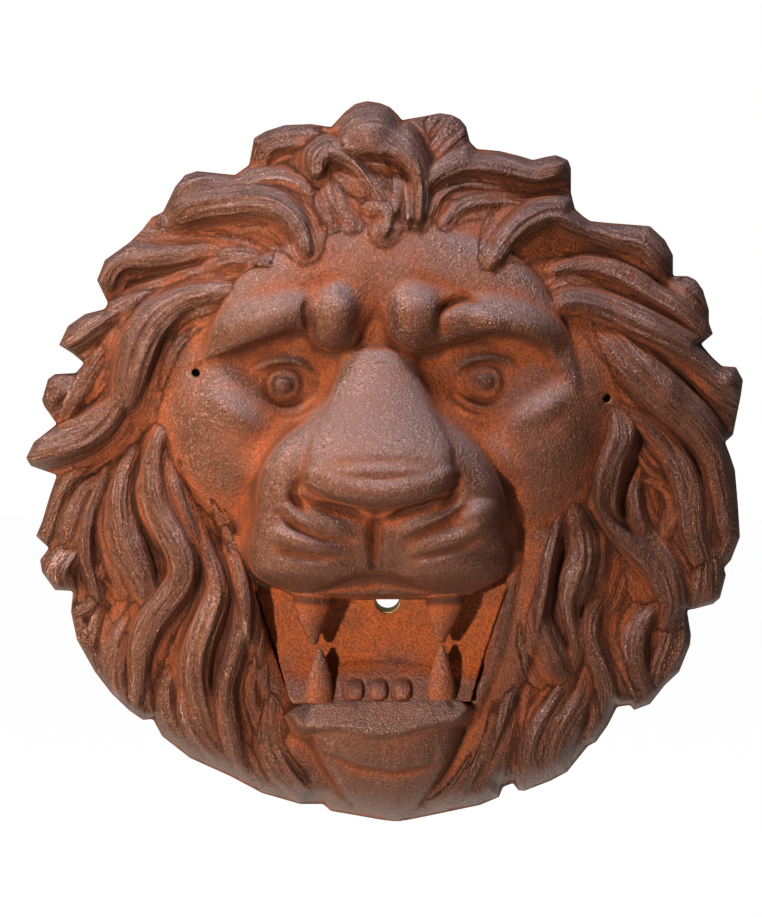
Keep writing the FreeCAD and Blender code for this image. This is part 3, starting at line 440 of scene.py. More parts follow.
def draw_chin(relief):
    """The beard's furrowed cushion, under the lower lip."""
    relief.loft([
        (712, 306, 466, 77), (728, 310, 462, 85), (744, 316, 456, 86), (760, 323, 449, 84),
        (776, 331, 441, 79), (792, 342, 430, 72), (806, 355, 418, 61), (818, 366, 406, 49),
    ], fall=24, fullness=3.0, blend=5, outside=60, past_end=2)
    for way in CHIN_FURROWS:
        relief.groove(way, [4, 5, 5, 4], [0, 3.4, 3.4, 0])
    window, offset, share = relief.along(LIP_CREST, 10, 45)
    shelf = spread(LIP_TOPS, share) - np.where(offset > 0, MOUTH_SLOPE * offset, -CHIN_SLOPE * offset)
    near = (share > 0) & (share < 1)
    relief.depth[window] = np.where(near, soft_max(relief.depth[window], shelf, 1.5), relief.depth[window])


# Locks: half widths along the way in pixels, heights over the bed in mm, way from root to tip
LOCKS = {
    "crown_back": ([11, 13, 15, 13, 9], [6, 10, 12, 10, 6],
        [(338, 142), (344, 121), (366, 112), (389, 117), (402, 132)]),
    "crown_ball": ([4, 6, 9, 15, 20, 19, 13], [10, 14, 20, 27, 32, 32, 24],
        [(420, 218), (421, 188), (417, 166), (402, 145), (383, 134), (364, 134), (352, 140)]),
    "crown_left": ([4, 7, 8, 10, 12, 12, 10], [6, 10, 14, 18, 21, 21, 16],
        [(386, 206), (374, 186), (362, 168), (346, 154), (329, 149), (318, 156), (315, 168)]),
    "crown_strand_1": ([3, 5, 6, 5], [6, 10, 12, 8], [(391, 204), (384, 184), (368, 162), (352, 150)]),
    "crown_strand_2": ([4, 5, 4], [8, 10, 8], [(396, 210), (397, 186), (394, 166)]),
    "crown_strand_3": ([4, 5, 4], [8, 10, 8], [(409, 218), (409, 192), (404, 168)]),
    "peak_curl": ([5, 6, 6, 5], [6, 9, 9, 5], [(384, 232), (388, 215), (382, 206), (370, 208)]),
    "peak_left": ([4, 7, 7, 4], [4, 7, 7, 4], [(352, 222), (340, 205), (334, 188), (330, 172)]),
    "peak_left_2": ([4, 7, 7, 4], [4, 6, 6, 4], [(330, 222), (322, 206), (318, 190), (318, 176)]),
    "crown_right_1": ([4, 7, 8, 8], [8, 10, 11, 8], [(421, 168), (420, 148), (428, 130), (436, 118)]),
    "crown_right_2": ([4, 5, 6, 7], [8, 11, 12, 9], [(424, 168), (432, 150), (444, 134), (455, 121)]),
    "crown_right_3": ([4, 6, 8, 8], [8, 11, 12, 9], [(426, 170), (440, 154), (454, 141), (466, 132)]),
    "right_1": ([4, 7, 11, 13, 12, 11, 8], [6, 12, 17, 19, 18, 16, 10],
        [(423, 212), (426, 186), (446, 168), (474, 158), (505, 163), (537, 171), (562, 166)]),
    "right_1_top": ([5, 8, 8, 8, 7], [5, 10, 11, 11, 9],
        [(448, 158), (474, 150), (503, 154), (532, 163), (556, 160)]),
    "right_1_low": ([3, 5, 6, 6, 4], [4, 7, 8, 8, 5],
        [(430, 214), (442, 192), (464, 182), (500, 184), (552, 186)]),
    "right_1_lower": ([3, 6, 7, 5], [3, 6, 6, 3], [(446, 222), (464, 204), (494, 198), (540, 199)]),
    "right_2": ([5, 10, 13, 13, 12, 13, 14, 11], [6, 12, 18, 20, 19, 17, 15, 10],
        [(494, 262), (512, 236), (534, 218), (558, 212), (584, 222), (614, 234), (645, 242), (664, 262)]),
    "right_2_top": ([4, 7, 8, 7], [6, 10, 10, 8], [(572, 212), (604, 226), (636, 229), (662, 240)]),
    "right_2_low": ([4, 6, 7, 6], [6, 10, 10, 8], [(588, 240), (618, 250), (642, 262), (664, 272)]),
    "right_3": ([4, 8, 10, 10, 9, 8, 7], [5, 10, 15, 16, 15, 13, 10],
        [(556, 270), (580, 263), (604, 265), (630, 277), (656, 294), (682, 310), (706, 330)]),
    "right_3_out": ([6, 10, 13, 13, 9], [6, 9, 11, 11, 7],
        [(640, 270), (662, 280), (684, 290), (700, 303), (706, 320)]),
    "right_3_low": ([5, 8, 8, 7, 6], [5, 9, 9, 8, 6],
        [(574, 280), (606, 288), (640, 302), (672, 322), (702, 338)]),
    "right_4": ([7, 11, 14, 15, 14, 14, 14, 10], [6, 13, 18, 20, 19, 18, 17, 10],
        [(548, 318), (570, 303), (600, 307), (634, 322), (668, 338), (702, 358), (724, 376), (738, 386)]),
    "right_4_low": ([5, 8, 9, 9, 8], [8, 12, 13, 12, 8],
        [(634, 340), (664, 354), (694, 372), (720, 392), (737, 402)]),
    "right_4_lowest": ([4, 6, 7, 7, 5], [6, 8, 8, 8, 6],
        [(676, 380), (700, 396), (722, 408), (734, 424), (728, 440)]),
    "right_5": ([9, 15, 19, 19, 17, 14, 12, 10], [8, 16, 21, 21, 20, 18, 15, 10],
        [(592, 318), (615, 342), (642, 370), (670, 398), (696, 424), (714, 450), (722, 482), (728, 520)]),
    "right_5_in": ([5, 7, 7, 6, 4], [8, 11, 12, 10, 6],
        [(690, 428), (705, 446), (714, 468), (717, 490), (712, 506)]),
    "right_5_out": ([6, 8, 9, 9, 6], [6, 8, 9, 8, 5],
        [(716, 440), (730, 468), (734, 500), (733, 530), (724, 556)]),
    "right_6": ([5, 8, 8, 6, 4], [6, 10, 11, 9, 5],
        [(570, 316), (586, 336), (600, 356), (612, 374), (622, 392)]),
    "right_6_b": ([4, 6, 6, 4], [8, 12, 12, 8], [(594, 330), (608, 350), (618, 370), (628, 392)]),
    "right_7": ([4, 8, 11, 13, 13, 12, 9], [5, 11, 15, 17, 17, 15, 8],
        [(614, 400), (638, 416), (662, 438), (680, 466), (690, 498), (694, 532), (704, 566)]),
    "right_7_in": ([5, 7, 7, 6], [8, 10, 10, 6], [(686, 442), (700, 470), (704, 505), (706, 540)]),
    "right_8": ([3, 6, 7, 6, 6, 6, 7, 9, 9, 6], [5, 11, 15, 16, 15, 15, 16, 16, 15, 8],
        [(604, 396), (615, 416), (618, 436), (609, 458), (602, 480), (602, 506), (614, 528), (634, 546),
         (654, 566), (664, 590)]),
    "right_8_in": ([3, 6, 7, 7, 7, 6, 5], [5, 11, 15, 16, 15, 13, 8],
        [(612, 400), (627, 424), (628, 444), (619, 464), (614, 486), (613, 508), (622, 526)]),
    "right_8_fill": ([5, 10, 13, 13, 12, 8], [6, 10, 13, 15, 15, 9],
        [(630, 520), (640, 534), (656, 552), (668, 576), (674, 602), (668, 624)]),
    "right_9": ([4, 6, 6, 6, 5], [5, 10, 12, 11, 8],
        [(640, 470), (635, 492), (639, 518), (652, 542), (664, 562)]),
    "right_9_b": ([4, 6, 7, 6, 4], [5, 9, 10, 10, 6],
        [(648, 480), (667, 488), (674, 508), (668, 528), (660, 546)]),
    "right_9_c": ([3, 4, 4, 3], [4, 6, 6, 4], [(646, 492), (650, 512), (660, 532), (668, 548)]),
    "right_9_d": ([4, 6, 7, 6, 4], [4, 7, 8, 8, 4],
        [(630, 436), (642, 452), (654, 468), (668, 480), (680, 506)]),
    "right_10": ([4, 7, 8, 7, 6], [6, 12, 14, 13, 8],
        [(664, 600), (648, 616), (639, 638), (638, 664), (648, 692)]),
    "right_10_b": ([3, 5, 6, 5, 4], [5, 9, 10, 10, 6],
        [(642, 608), (631, 630), (629, 654), (636, 676), (642, 698)]),
    "right_10_c": ([4, 6, 6, 5, 4], [5, 9, 10, 9, 5],
        [(664, 610), (670, 628), (666, 648), (657, 670), (655, 690)]),
    "right_10_d": ([5, 8, 9, 8, 5], [5, 9, 11, 10, 5],
        [(680, 606), (684, 630), (681, 652), (669, 672), (661, 688)]),
    "right_10_e": ([3, 5, 5, 3], [3, 6, 6, 3], [(650, 622), (658, 632), (656, 646), (646, 656)]),
    "right_11": ([8, 12, 14, 12, 8], [6, 10, 12, 11, 7],
        [(700, 540), (708, 562), (709, 584), (706, 600), (703, 606)]),
    "right_11_b": ([4, 6, 6, 4], [5, 8, 8, 5], [(682, 560), (692, 580), (695, 600), (692, 612)]),
    "right_12": ([5, 9, 14, 15, 9, 7, 7, 6], [6, 11, 16, 17, 16, 15, 14, 8],
        [(570, 500), (580, 526), (584, 555), (577, 582), (571, 604), (574, 628), (577, 648), (571, 668)]),
    "right_12_b": ([3, 5, 6, 5, 3], [4, 9, 10, 8, 4],
        [(596, 520), (602, 545), (600, 570), (590, 590), (578, 604)]),
    "right_13": ([4, 6, 7, 6, 7, 10, 11, 8], [5, 10, 14, 15, 15, 16, 15, 8],
        [(562, 508), (557, 532), (550, 560), (546, 590), (543, 615), (548, 638), (558, 660), (566, 682)]),
    "right_13_b": ([3, 4, 4, 4, 3], [4, 8, 9, 8, 4],
        [(553, 566), (554, 592), (559, 618), (566, 642), (571, 668)]),
    "right_13_c": ([3, 4, 4, 3], [4, 7, 8, 5], [(574, 512), (570, 536), (562, 556), (556, 576)]),
    "right_14": ([5, 8, 9, 8, 8, 9, 6], [5, 11, 14, 14, 13, 12, 7],
        [(602, 596), (593, 612), (590, 634), (598, 658), (606, 680), (609, 702), (604, 724)]),
    "right_14_b": ([3, 4, 4, 3], [5, 8, 8, 5], [(603, 645), (606, 660), (616, 676), (622, 692)]),
    "right_15": ([4, 5, 6, 5, 4], [4, 8, 9, 8, 5],
        [(612, 640), (620, 660), (632, 680), (640, 696), (646, 706)]),
    "right_15_b": ([4, 5, 6, 5], [3, 6, 7, 5], [(604, 650), (614, 676), (624, 694), (632, 706)]),
    "right_16": ([4, 7, 9, 12, 12, 7], [5, 10, 13, 15, 14, 8],
        [(575, 664), (566, 686), (550, 712), (538, 734), (533, 754), (534, 770)]),
    "right_17": ([5, 9, 13, 13, 13, 9], [6, 11, 15, 16, 15, 8],
        [(588, 668), (583, 694), (572, 716), (560, 738), (555, 756), (556, 770)]),
    "right_18": ([4, 6, 8, 8, 5], [4, 7, 9, 9, 5],
        [(594, 676), (597, 700), (599, 720), (594, 735), (584, 742)]),
    "right_19": ([5, 8, 9, 9, 7], [4, 9, 11, 11, 7],
        [(512, 700), (508, 724), (502, 748), (495, 770), (489, 790)]),
    "right_20": ([4, 7, 8, 8, 6], [3, 7, 9, 9, 6],
        [(494, 716), (489, 742), (480, 766), (472, 786), (466, 802)]),
    "right_21": ([4, 6, 7, 7, 5], [3, 6, 8, 8, 5],
        [(480, 742), (470, 764), (458, 784), (442, 800), (420, 812)]),
    "right_22": ([3, 5, 5, 5, 4], [3, 6, 7, 6, 4],
        [(528, 690), (522, 712), (518, 734), (514, 756), (512, 776)]),
    "left_1": ([7, 11, 12, 12, 11, 8], [5, 10, 12, 13, 12, 7],
        [(338, 140), (314, 136), (288, 136), (267, 142), (259, 154), (258, 168)]),
    "left_1_low": ([5, 8, 8, 5], [4, 8, 8, 5], [(318, 158), (296, 150), (276, 155), (264, 166)]),
    "left_2": ([3, 7, 8, 9, 9, 12, 13, 9], [4, 10, 13, 14, 13, 13, 12, 8],
        [(316, 204), (304, 186), (284, 177), (262, 177), (238, 183), (210, 185), (190, 190), (178, 200)]),
    "left_2_low": ([3, 5, 6, 5, 3], [4, 8, 9, 7, 4],
        [(318, 206), (298, 193), (272, 187), (244, 190), (222, 196)]),
    "left_3": ([5, 9, 13, 14, 14, 14, 13, 10], [6, 13, 19, 21, 20, 19, 17, 9],
        [(306, 250), (298, 226), (280, 208), (254, 200), (228, 202), (203, 205), (184, 211), (168, 221)]),
    "left_3_low": ([3, 4, 5, 4], [5, 8, 8, 5], [(288, 224), (264, 221), (240, 222), (220, 226)]),
    "left_3_lowest": ([4, 7, 8, 7, 5], [3, 7, 8, 7, 4],
        [(262, 250), (232, 240), (200, 236), (170, 238), (148, 236)]),
    "left_4": ([4, 7, 9, 11, 12, 12, 9], [4, 10, 13, 14, 14, 13, 8],
        [(236, 256), (206, 250), (180, 255), (152, 258), (127, 256), (110, 266), (103, 281)]),
    "left_4_low": ([4, 7, 7, 5], [4, 7, 7, 4], [(160, 272), (136, 270), (120, 276), (110, 286)]),
    "left_5": ([3, 7, 8, 5], [4, 9, 9, 5], [(268, 264), (244, 257), (222, 258), (206, 266)]),
    "left_5_b": ([3, 4, 5, 5, 4], [3, 7, 8, 7, 4],
        [(216, 268), (192, 272), (170, 281), (148, 287), (124, 296)]),
    "left_6": ([4, 9, 12, 16, 17, 15, 12], [5, 12, 17, 21, 22, 21, 14],
        [(234, 290), (206, 294), (178, 302), (153, 322), (138, 350), (131, 376), (125, 398)]),
    "left_6_b": ([4, 6, 7, 8], [8, 12, 13, 10], [(218, 298), (196, 300), (176, 310), (160, 326)]),
    "left_6_tail": ([7, 10, 13, 14, 15, 15, 11], [10, 15, 17, 18, 17, 15, 9],
        [(133, 382), (118, 404), (104, 424), (86, 438), (64, 446), (46, 450), (32, 452)]),
    "left_6_tail_b": ([4, 6, 7, 6, 5], [8, 12, 12, 10, 6],
        [(114, 396), (98, 412), (80, 424), (62, 430), (46, 434)]),
    "left_7": ([4, 7, 10, 13, 13, 9], [5, 9, 12, 13, 12, 7],
        [(170, 288), (140, 298), (112, 312), (92, 325), (76, 336), (62, 344)]),
    "left_7_ridge": ([3, 4, 4, 3], [8, 12, 12, 8], [(152, 291), (136, 299), (128, 312), (120, 326)]),
    "left_8": ([3, 6, 6, 5, 4], [4, 10, 11, 10, 6],
        [(224, 306), (202, 310), (184, 318), (174, 332), (168, 350)]),
    "left_8_b": ([3, 5, 6, 6, 5], [4, 9, 11, 11, 7],
        [(218, 320), (196, 329), (180, 343), (169, 362), (162, 386)]),
    "left_9": ([4, 7, 8, 8, 6], [5, 9, 11, 11, 7],
        [(120, 334), (104, 350), (90, 370), (80, 388), (72, 402)]),
    "left_9_b": ([4, 6, 6, 5], [5, 8, 9, 6], [(118, 348), (112, 364), (102, 382), (88, 400)]),
    "left_10": ([5, 9, 11, 11, 8], [5, 9, 11, 11, 7],
        [(98, 366), (78, 378), (62, 384), (50, 391), (46, 401)]),
    "left_10_low": ([5, 7, 8, 6], [4, 7, 8, 5], [(94, 396), (74, 404), (58, 407), (50, 412)]),
    "left_11": ([4, 6, 6, 6, 6, 5], [5, 9, 11, 11, 10, 7],
        [(90, 464), (72, 476), (60, 492), (53, 512), (48, 528), (44, 540)]),
    "left_11_b": ([3, 4, 4, 4], [5, 9, 9, 6], [(78, 476), (67, 494), (61, 514), (57, 534)]),
    "left_12": ([4, 8, 10, 10, 8], [5, 10, 12, 12, 7],
        [(102, 476), (86, 492), (76, 514), (70, 536), (66, 552)]),
    "left_12_ridge": ([3, 5, 6, 6, 6, 5, 4], [6, 12, 14, 14, 13, 11, 6],
        [(106, 470), (98, 492), (90, 514), (86, 538), (87, 562), (93, 582), (98, 600)]),
    "left_13": ([6, 12, 15, 15, 12], [6, 11, 14, 14, 9],
        [(80, 534), (70, 552), (60, 566), (56, 577), (60, 586)]),
    "left_14": ([5, 7, 11, 15, 16, 13, 10, 7], [6, 12, 17, 19, 20, 18, 15, 8],
        [(134, 450), (124, 474), (119, 500), (121, 527), (128, 550), (139, 572), (146, 592), (146, 612)]),
    "left_14_b": ([4, 6, 7, 7, 6, 5], [6, 10, 12, 12, 11, 7],
        [(118, 476), (108, 500), (104, 524), (107, 548), (115, 572), (124, 594)]),
    "left_14_c": ([3, 4, 4, 3], [5, 8, 8, 5], [(92, 592), (100, 576), (104, 560), (100, 540)]),
    "left_15": ([5, 8, 11, 12, 12, 13, 13, 13, 12, 9, 6], [6, 12, 17, 19, 20, 20, 19, 19, 17, 14, 8],
        [(162, 432), (153, 456), (151, 484), (157, 510), (170, 534), (181, 556), (182, 578), (168, 600),
         (151, 622), (141, 648), (138, 676)]),
    "left_15_edge": ([4, 6, 6, 6, 5], [6, 13, 14, 12, 7],
        [(148, 462), (141, 488), (144, 512), (154, 534), (164, 556)]),
    "left_16": ([4, 8, 9, 9, 7], [5, 11, 13, 13, 8],
        [(168, 462), (172, 488), (180, 514), (190, 538), (197, 562)]),
    "left_17": ([4, 7, 9, 12, 13, 13, 12, 11, 9], [5, 12, 17, 19, 20, 20, 19, 16, 8],
        [(198, 520), (206, 546), (214, 570), (217, 594), (210, 618), (201, 642), (196, 668), (198, 694),
         (206, 720)]),
    "left_17_tail": ([9, 12, 12, 10, 7], [12, 15, 14, 12, 7],
        [(192, 680), (190, 706), (196, 728), (208, 746), (220, 758)]),
    "left_18": ([3, 6, 8, 9, 9, 9, 10, 11, 9], [5, 10, 14, 16, 17, 17, 17, 15, 8],
        [(224, 520), (232, 548), (239, 576), (243, 604), (241, 632), (234, 658), (226, 684), (225, 708),
         (231, 736)]),
    "left_19": ([3, 6, 7, 7, 6, 4], [4, 9, 11, 11, 9, 5],
        [(176, 658), (167, 678), (165, 700), (170, 722), (180, 742), (190, 756)]),
    "left_20": ([4, 8, 9, 8, 6], [5, 10, 12, 11, 7],
        [(136, 606), (122, 630), (116, 656), (115, 680), (120, 700)]),
    "left_21": ([3, 5, 5, 4], [4, 8, 9, 6], [(108, 622), (105, 646), (107, 670), (113, 690)]),
    "left_22": ([3, 5, 5, 4], [4, 7, 8, 5], [(99, 608), (93, 630), (89, 652), (92, 668)]),
    "left_23": ([4, 6, 7, 6, 5], [3, 6, 7, 7, 5],
        [(80, 596), (77, 618), (84, 644), (97, 670), (110, 688)]),
    "left_24": ([3, 5, 5, 4], [4, 7, 7, 4], [(104, 586), (95, 600), (86, 608), (76, 612)]),
    "left_25": ([4, 7, 8, 6], [4, 8, 9, 6], [(136, 664), (131, 682), (134, 702), (142, 716)]),
    "left_26": ([4, 6, 6, 4], [4, 7, 8, 5], [(152, 640), (146, 664), (144, 690), (148, 712)]),
    "left_27": ([4, 8, 10, 10, 9, 6], [4, 10, 13, 13, 11, 7],
        [(268, 706), (266, 730), (270, 754), (280, 772), (292, 786), (302, 797)]),
    "left_28": ([4, 7, 7, 5], [4, 8, 9, 6], [(214, 742), (224, 758), (236, 772), (246, 782)]),
    "left_29": ([3, 5, 5, 4], [3, 6, 6, 4], [(172, 726), (180, 742), (192, 757), (204, 766)]),
    "left_30": ([3, 5, 6, 5], [3, 7, 7, 5], [(252, 752), (258, 770), (266, 784), (280, 796)]),
    "left_31": ([4, 6, 6, 4], [4, 8, 8, 5], [(238, 728), (243, 746), (252, 764), (262, 780)]),
    "left_32": ([3, 5, 6, 5, 4], [3, 7, 8, 7, 4],
        [(250, 640), (252, 668), (250, 694), (256, 718), (262, 744)]),
    "left_33": ([4, 6, 7, 6, 4], [3, 7, 8, 8, 4],
        [(204, 440), (206, 466), (212, 490), (222, 512), (232, 536)]),
    "left_34": ([4, 6, 6, 4], [3, 7, 7, 4], [(184, 410), (180, 436), (184, 462), (192, 490)]),
}

# Outline of the mane, clockwise from the crown
OUTLINE = [
    (367, 101), (380, 103), (390, 107), (398, 115), (402, 120), (425, 116), (440, 113), (452, 115),
    (460, 119), (466, 126), (470, 142), (477, 149), (500, 151), (520, 156), (533, 160), (545, 157),
    (556, 155), (568, 160), (571, 168), (571, 193), (575, 209), (583, 216), (590, 221), (610, 223),
    (650, 226), (665, 240), (673, 255), (673, 276), (688, 276), (696, 280), (703, 290), (709, 310),
    (709, 323), (713, 334), (701, 344), (712, 357), (722, 366), (736, 367), (743, 380), (741, 395),
    (738, 410), (733, 435), (725, 442), (730, 455), (735, 470), (738, 505), (740, 537), (731, 560),
    (724, 568), (726, 575), (720, 598), (713, 604), (694, 609), (687, 610), (691, 635), (690, 645),
    (679, 672), (665, 685), (650, 704), (634, 710), (630, 705), (617, 707), (608, 725), (596, 742),
    (588, 746), (567, 772), (550, 781), (524, 791), (518, 790), (513, 783), (503, 787), (499, 797),
    (480, 805), (442, 813), (398, 822), (388, 821), (360, 816), (331, 811), (323, 804), (300, 804),
    (262, 793), (230, 776), (190, 758), (162, 736), (153, 719), (143, 720), (130, 711), (112, 694),
    (95, 672), (77, 640), (71, 612), (73, 591), (55, 590), (42, 572), (40, 560), (49, 548),
    (36, 536), (42, 522), (50, 495), (57, 475), (31, 466), (26, 458), (34, 442), (57, 424),
    (44, 406), (42, 400), (48, 379), (55, 374), (76, 373), (84, 363), (72, 353), (59, 345),
    (68, 326), (85, 314), (105, 309), (108, 303), (97, 280), (105, 260), (130, 242), (142, 230),
    (152, 217), (163, 212), (175, 187), (185, 175), (197, 171), (235, 175), (249, 165), (254, 138),
    (266, 131), (285, 125), (311, 124), (331, 127), (345, 112), (355, 104),
]

# Outline of the open mouth, clockwise from its upper left corner
MOUTH = [
    (254, 590), (292, 600), (325, 609), (345, 606), (358, 601), (378, 599.5), (400, 599.5), (425, 604),
    (462, 601), (474, 597), (490, 586), (506, 574), (505, 602), (499, 632), (490, 655), (480, 680),
    (470, 700), (445, 699), (425, 700), (405, 701), (385, 701), (360, 700), (345, 701), (330, 702),
    (293, 702), (284, 682), (275, 655), (267, 631), (261, 610),
]


def inside_distance(relief, corners):
    """Signed distance of each sight line from an outline, in pixels, positive inside it."""
    column, row = relief.column, relief.row
    nearest = np.full(column.shape, FAR)
    inside = np.zeros(column.shape, bool)
    for (start_x, start_y), (end_x, end_y) in zip(corners, corners[1:] + corners[:1]):
        run_x, run_y = end_x - start_x, end_y - start_y
        part = ((column - start_x) * run_x + (row - start_y) * run_y) / (run_x ** 2 + run_y ** 2)
        part = np.clip(part, 0, 1)
        away = (column - start_x - part * run_x) ** 2 + (row - start_y - part * run_y) ** 2
        nearest = np.minimum(nearest, away)
        if run_y:
            crossing = start_x + (row - start_y) * run_x / run_y
            inside ^= ((start_y > row) != (end_y > row)) & (column < crossing)
    return np.sqrt(nearest) * np.where(inside, 1, -1)


# Width and height of the mane's layers, against the locks as listed, and a strand's width in pixels
LAYERS = [(3.4, 0.42), (2.2, 0.72), (1.36, 1.36)]
STRAND_WIDTH = 5.0
# A lock's tip is led on where it ends this near the outline, in mm, tried by a step in pixels
TIP_REACH, TIP_STEP, LONGEST_TIP = 28.0, 12.0, 45.0
# The mane's rounded rim in mm: its depth at the outline, its width, its rise and the slope past it
RIM_EDGE, RIM_REACH, RIM_RISE, RIM_SLOPE = 10.0, 32.0, 62.0, 8.0
RIM_BLEND = 5.0
# Height in mm to which the face may lift the bed that the locks lie on
BED_LIFT = 6.0


@functools.lru_cache(maxsize=1)
def draw_casting():
    """The whole front, drawn once for both castings: the relief, and inside distances of the outline
    and of the mouth in mm."""
    relief = Relief()
    relief.rim = inside_distance(relief, OUTLINE) * PIXEL
    draw_base(relief)
    bed = relief.depth.copy()
    for draw in (draw_skull, draw_cheeks, draw_brows, draw_eyes, draw_nose,
                 draw_muzzle, draw_lip, draw_jaws, draw_chin):
        draw(relief)
    bed = np.minimum(relief.depth, bed + BED_LIFT)
    draw_mane(relief, bed)
    relief.depth = blurred(relief.depth, 1)
    rim = relief.rim
    rounding = np.clip(1 - rim / RIM_REACH, 0, 1)
    edge_depth = RIM_EDGE + RIM_RISE * np.sqrt(1 - rounding ** 2) + RIM_SLOPE * np.maximum(rim - RIM_REACH, 0)
    relief.depth = -soft_max(-relief.depth, -edge_depth, RIM_BLEND)
    return relief, rim, inside_distance(relief, MOUTH) * PIXEL


def rim_at(relief, column, row):
    """Mm inside the outline at a pixel."""
    column = min(max(int(column) - relief.left, 0), relief.rim.shape[1] - 1)
    row = min(max(int(row) - relief.top, 0), relief.rim.shape[0] - 1)
    return relief.rim[row, column]


def to_outline(relief, way):
    """A lock's way, led on to the outline where its tip points out and ends near it."""
    (before_x, before_y), (tip_x, tip_y) = way[-2:]
    length = math.dist(way[-2], way[-1])
    step_x, step_y = (tip_x - before_x) / length, (tip_y - before_y) / length
    here = rim_at(relief, tip_x, tip_y)
    nearer = here - rim_at(relief, tip_x + TIP_STEP * step_x, tip_y + TIP_STEP * step_y)
    if here > TIP_REACH or nearer < TIP_STEP * PIXEL / 3:
        return way
    onwards = min(TIP_STEP * here / nearer, LONGEST_TIP)
    return way + [(tip_x + onwards * step_x, tip_y + onwards * step_y)]


def draw_mane(relief, bed):
    """Low, wide copies of every lock fill the gaps, then the locks lie over them."""
    for wider, higher in LAYERS:
        for number, (halves, heights, way) in enumerate(LOCKS.values()):
            wide = [wider * half for half in halves]
            high = [higher * height for height in heights]
            strands = int(max(wide) / STRAND_WIDTH)
            relief.lock(bed, to_outline(relief, way), wide, high, strands, number)


# Solid castings from the relief

# Grid step in mm, triangles kept, and the share taken off the plain rear first
MASK_VOXEL, PLATE_VOXEL = 1.1, 0.8
MASK_TRIANGLES, PLATE_TRIANGLES = 195000, 60000
PLAIN_THINNING = 0.9
# Room of the grid around a casting, in mm, and where rays along Y start, as depths over the wall
MARGIN, LAYERS_PAST = 2.0, 3.0
BEHIND, IN_FRONT = -20.0, 200.0


def bounds_of(node):
    """Lowest and highest corner of a CAD node, in mm."""
    low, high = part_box(node)
    return np.array(low) / MM, np.array(high) / MM


def surface_of(node):
    """The CAD node's surface for rays, in metres."""
    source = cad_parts[node]
    mesh = source.data
    places = [tuple(source.matrix_world @ vertex.co) for vertex in mesh.vertices]
    return BVHTree.FromPolygons(places, [tuple(face.vertices) for face in mesh.polygons])


def depth_seen(tree, across, up, start, heading):
    """Depths in mm where rays along Y first meet a surface, NaN where they meet none."""
    depth = np.full((len(across), len(up)), np.nan)
    direction = Vector((0, heading, 0))
    for column, x in enumerate(across):
        for row, z in enumerate(up):
            place = tree.ray_cast(Vector((x * MM, -start * MM, z * MM)), direction)[0]
            if place is not None:
                depth[column, row] = -place.y / MM
    return depth


class Sampler:
    """Reads maps that lie on the relief's sight lines at places of the frame."""

    def __init__(self, relief, maps):
        self.left, self.top = relief.left, relief.top
        self.maps = np.stack(maps, axis=-1).astype(np.float32)

    def at(self, x, depth, z):
        """The maps' values where places in mm are seen."""
        column, row = seen_at(x, -depth, z)
        rows, columns = self.maps.shape[:2]
        column = np.clip(column - self.left, 0, columns - 1.001)
        row = np.clip(row - self.top, 0, rows - 1.001)
        low_column, low_row = column.astype(int), row.astype(int)
        right, down = (column - low_column)[..., None], (row - low_row)[..., None]
        top_left, top_right = self.maps[low_row, low_column], self.maps[low_row, low_column + 1]
        low_left, low_right = self.maps[low_row + 1, low_column], self.maps[low_row + 1, low_column + 1]
        upper = top_left * (1 - right) + top_right * right
        lower = low_left * (1 - right) + low_right * right
        return upper * (1 - down) + lower * down


def softened(layer):
    """A layer of voxels with its steps taken off."""
    for axis in (0, 1):
        layer = 0.5 * layer + 0.25 * (np.roll(layer, 1, axis) + np.roll(layer, -1, axis))
    return layer


def tapered(across, up, depth, spine):
    """Distance in mm inside a tooth, whose spine lists (across, up, depth, radius)."""
    inside = np.full(np.broadcast(across, up).shape, NOWHERE)
    for start, end in zip(spine, spine[1:]):
        run = np.array(end) - np.array(start)
        share = (across - start[0]) * run[0] + (up - start[1]) * run[1] + (depth - start[2]) * run[2]
        share = np.clip(share / (run[0] ** 2 + run[1] ** 2 + run[2] ** 2), 0, 1)
        away = np.sqrt((across - start[0] - share * run[0]) ** 2 + (up - start[1] - share * run[1]) ** 2
                       + (depth - start[2] - share * run[2]) ** 2)
        inside = np.maximum(inside, start[3] + share * run[3] - away)
    return inside


def mesh_from_volume(name, volume, origin, voxel):
    """Closed mesh around the places of a volume, in mm inside the solid, that are positive."""
    grid = openvdb.FloatGrid(background=-2.0)
    grid.copyFromArray(np.clip(volume / voxel, -2, 2).astype(np.float32), tolerance=1e-4)
    grid.gridClass = openvdb.GridClass.FOG_VOLUME
    points, triangles, quads = grid.convertToPolygons(isovalue=0.0, adaptivity=0.0)
    points = (np.asarray(points) * voxel + origin) * MM
    mesh = bpy.data.meshes.new(name)
    corners = np.concatenate([np.asarray(quads).ravel(), np.asarray(triangles).ravel()]).astype(np.int32)
    sizes = np.concatenate([np.full(len(quads), 4), np.full(len(triangles), 3)])
    mesh.vertices.add(len(points))
    mesh.vertices.foreach_set("co", points.astype(np.float32).ravel())
    mesh.loops.add(len(corners))
    mesh.loops.foreach_set("vertex_index", corners)
    mesh.polygons.add(len(sizes))
    mesh.polygons.foreach_set("loop_start", np.concatenate([[0], np.cumsum(sizes)[:-1]]).astype(np.int32))
    mesh.update(calc_edges=True)
    mesh.validate()
    piece = bpy.data.objects.new(name, mesh)
    bpy.context.scene.collection.objects.link(piece)
    return piece


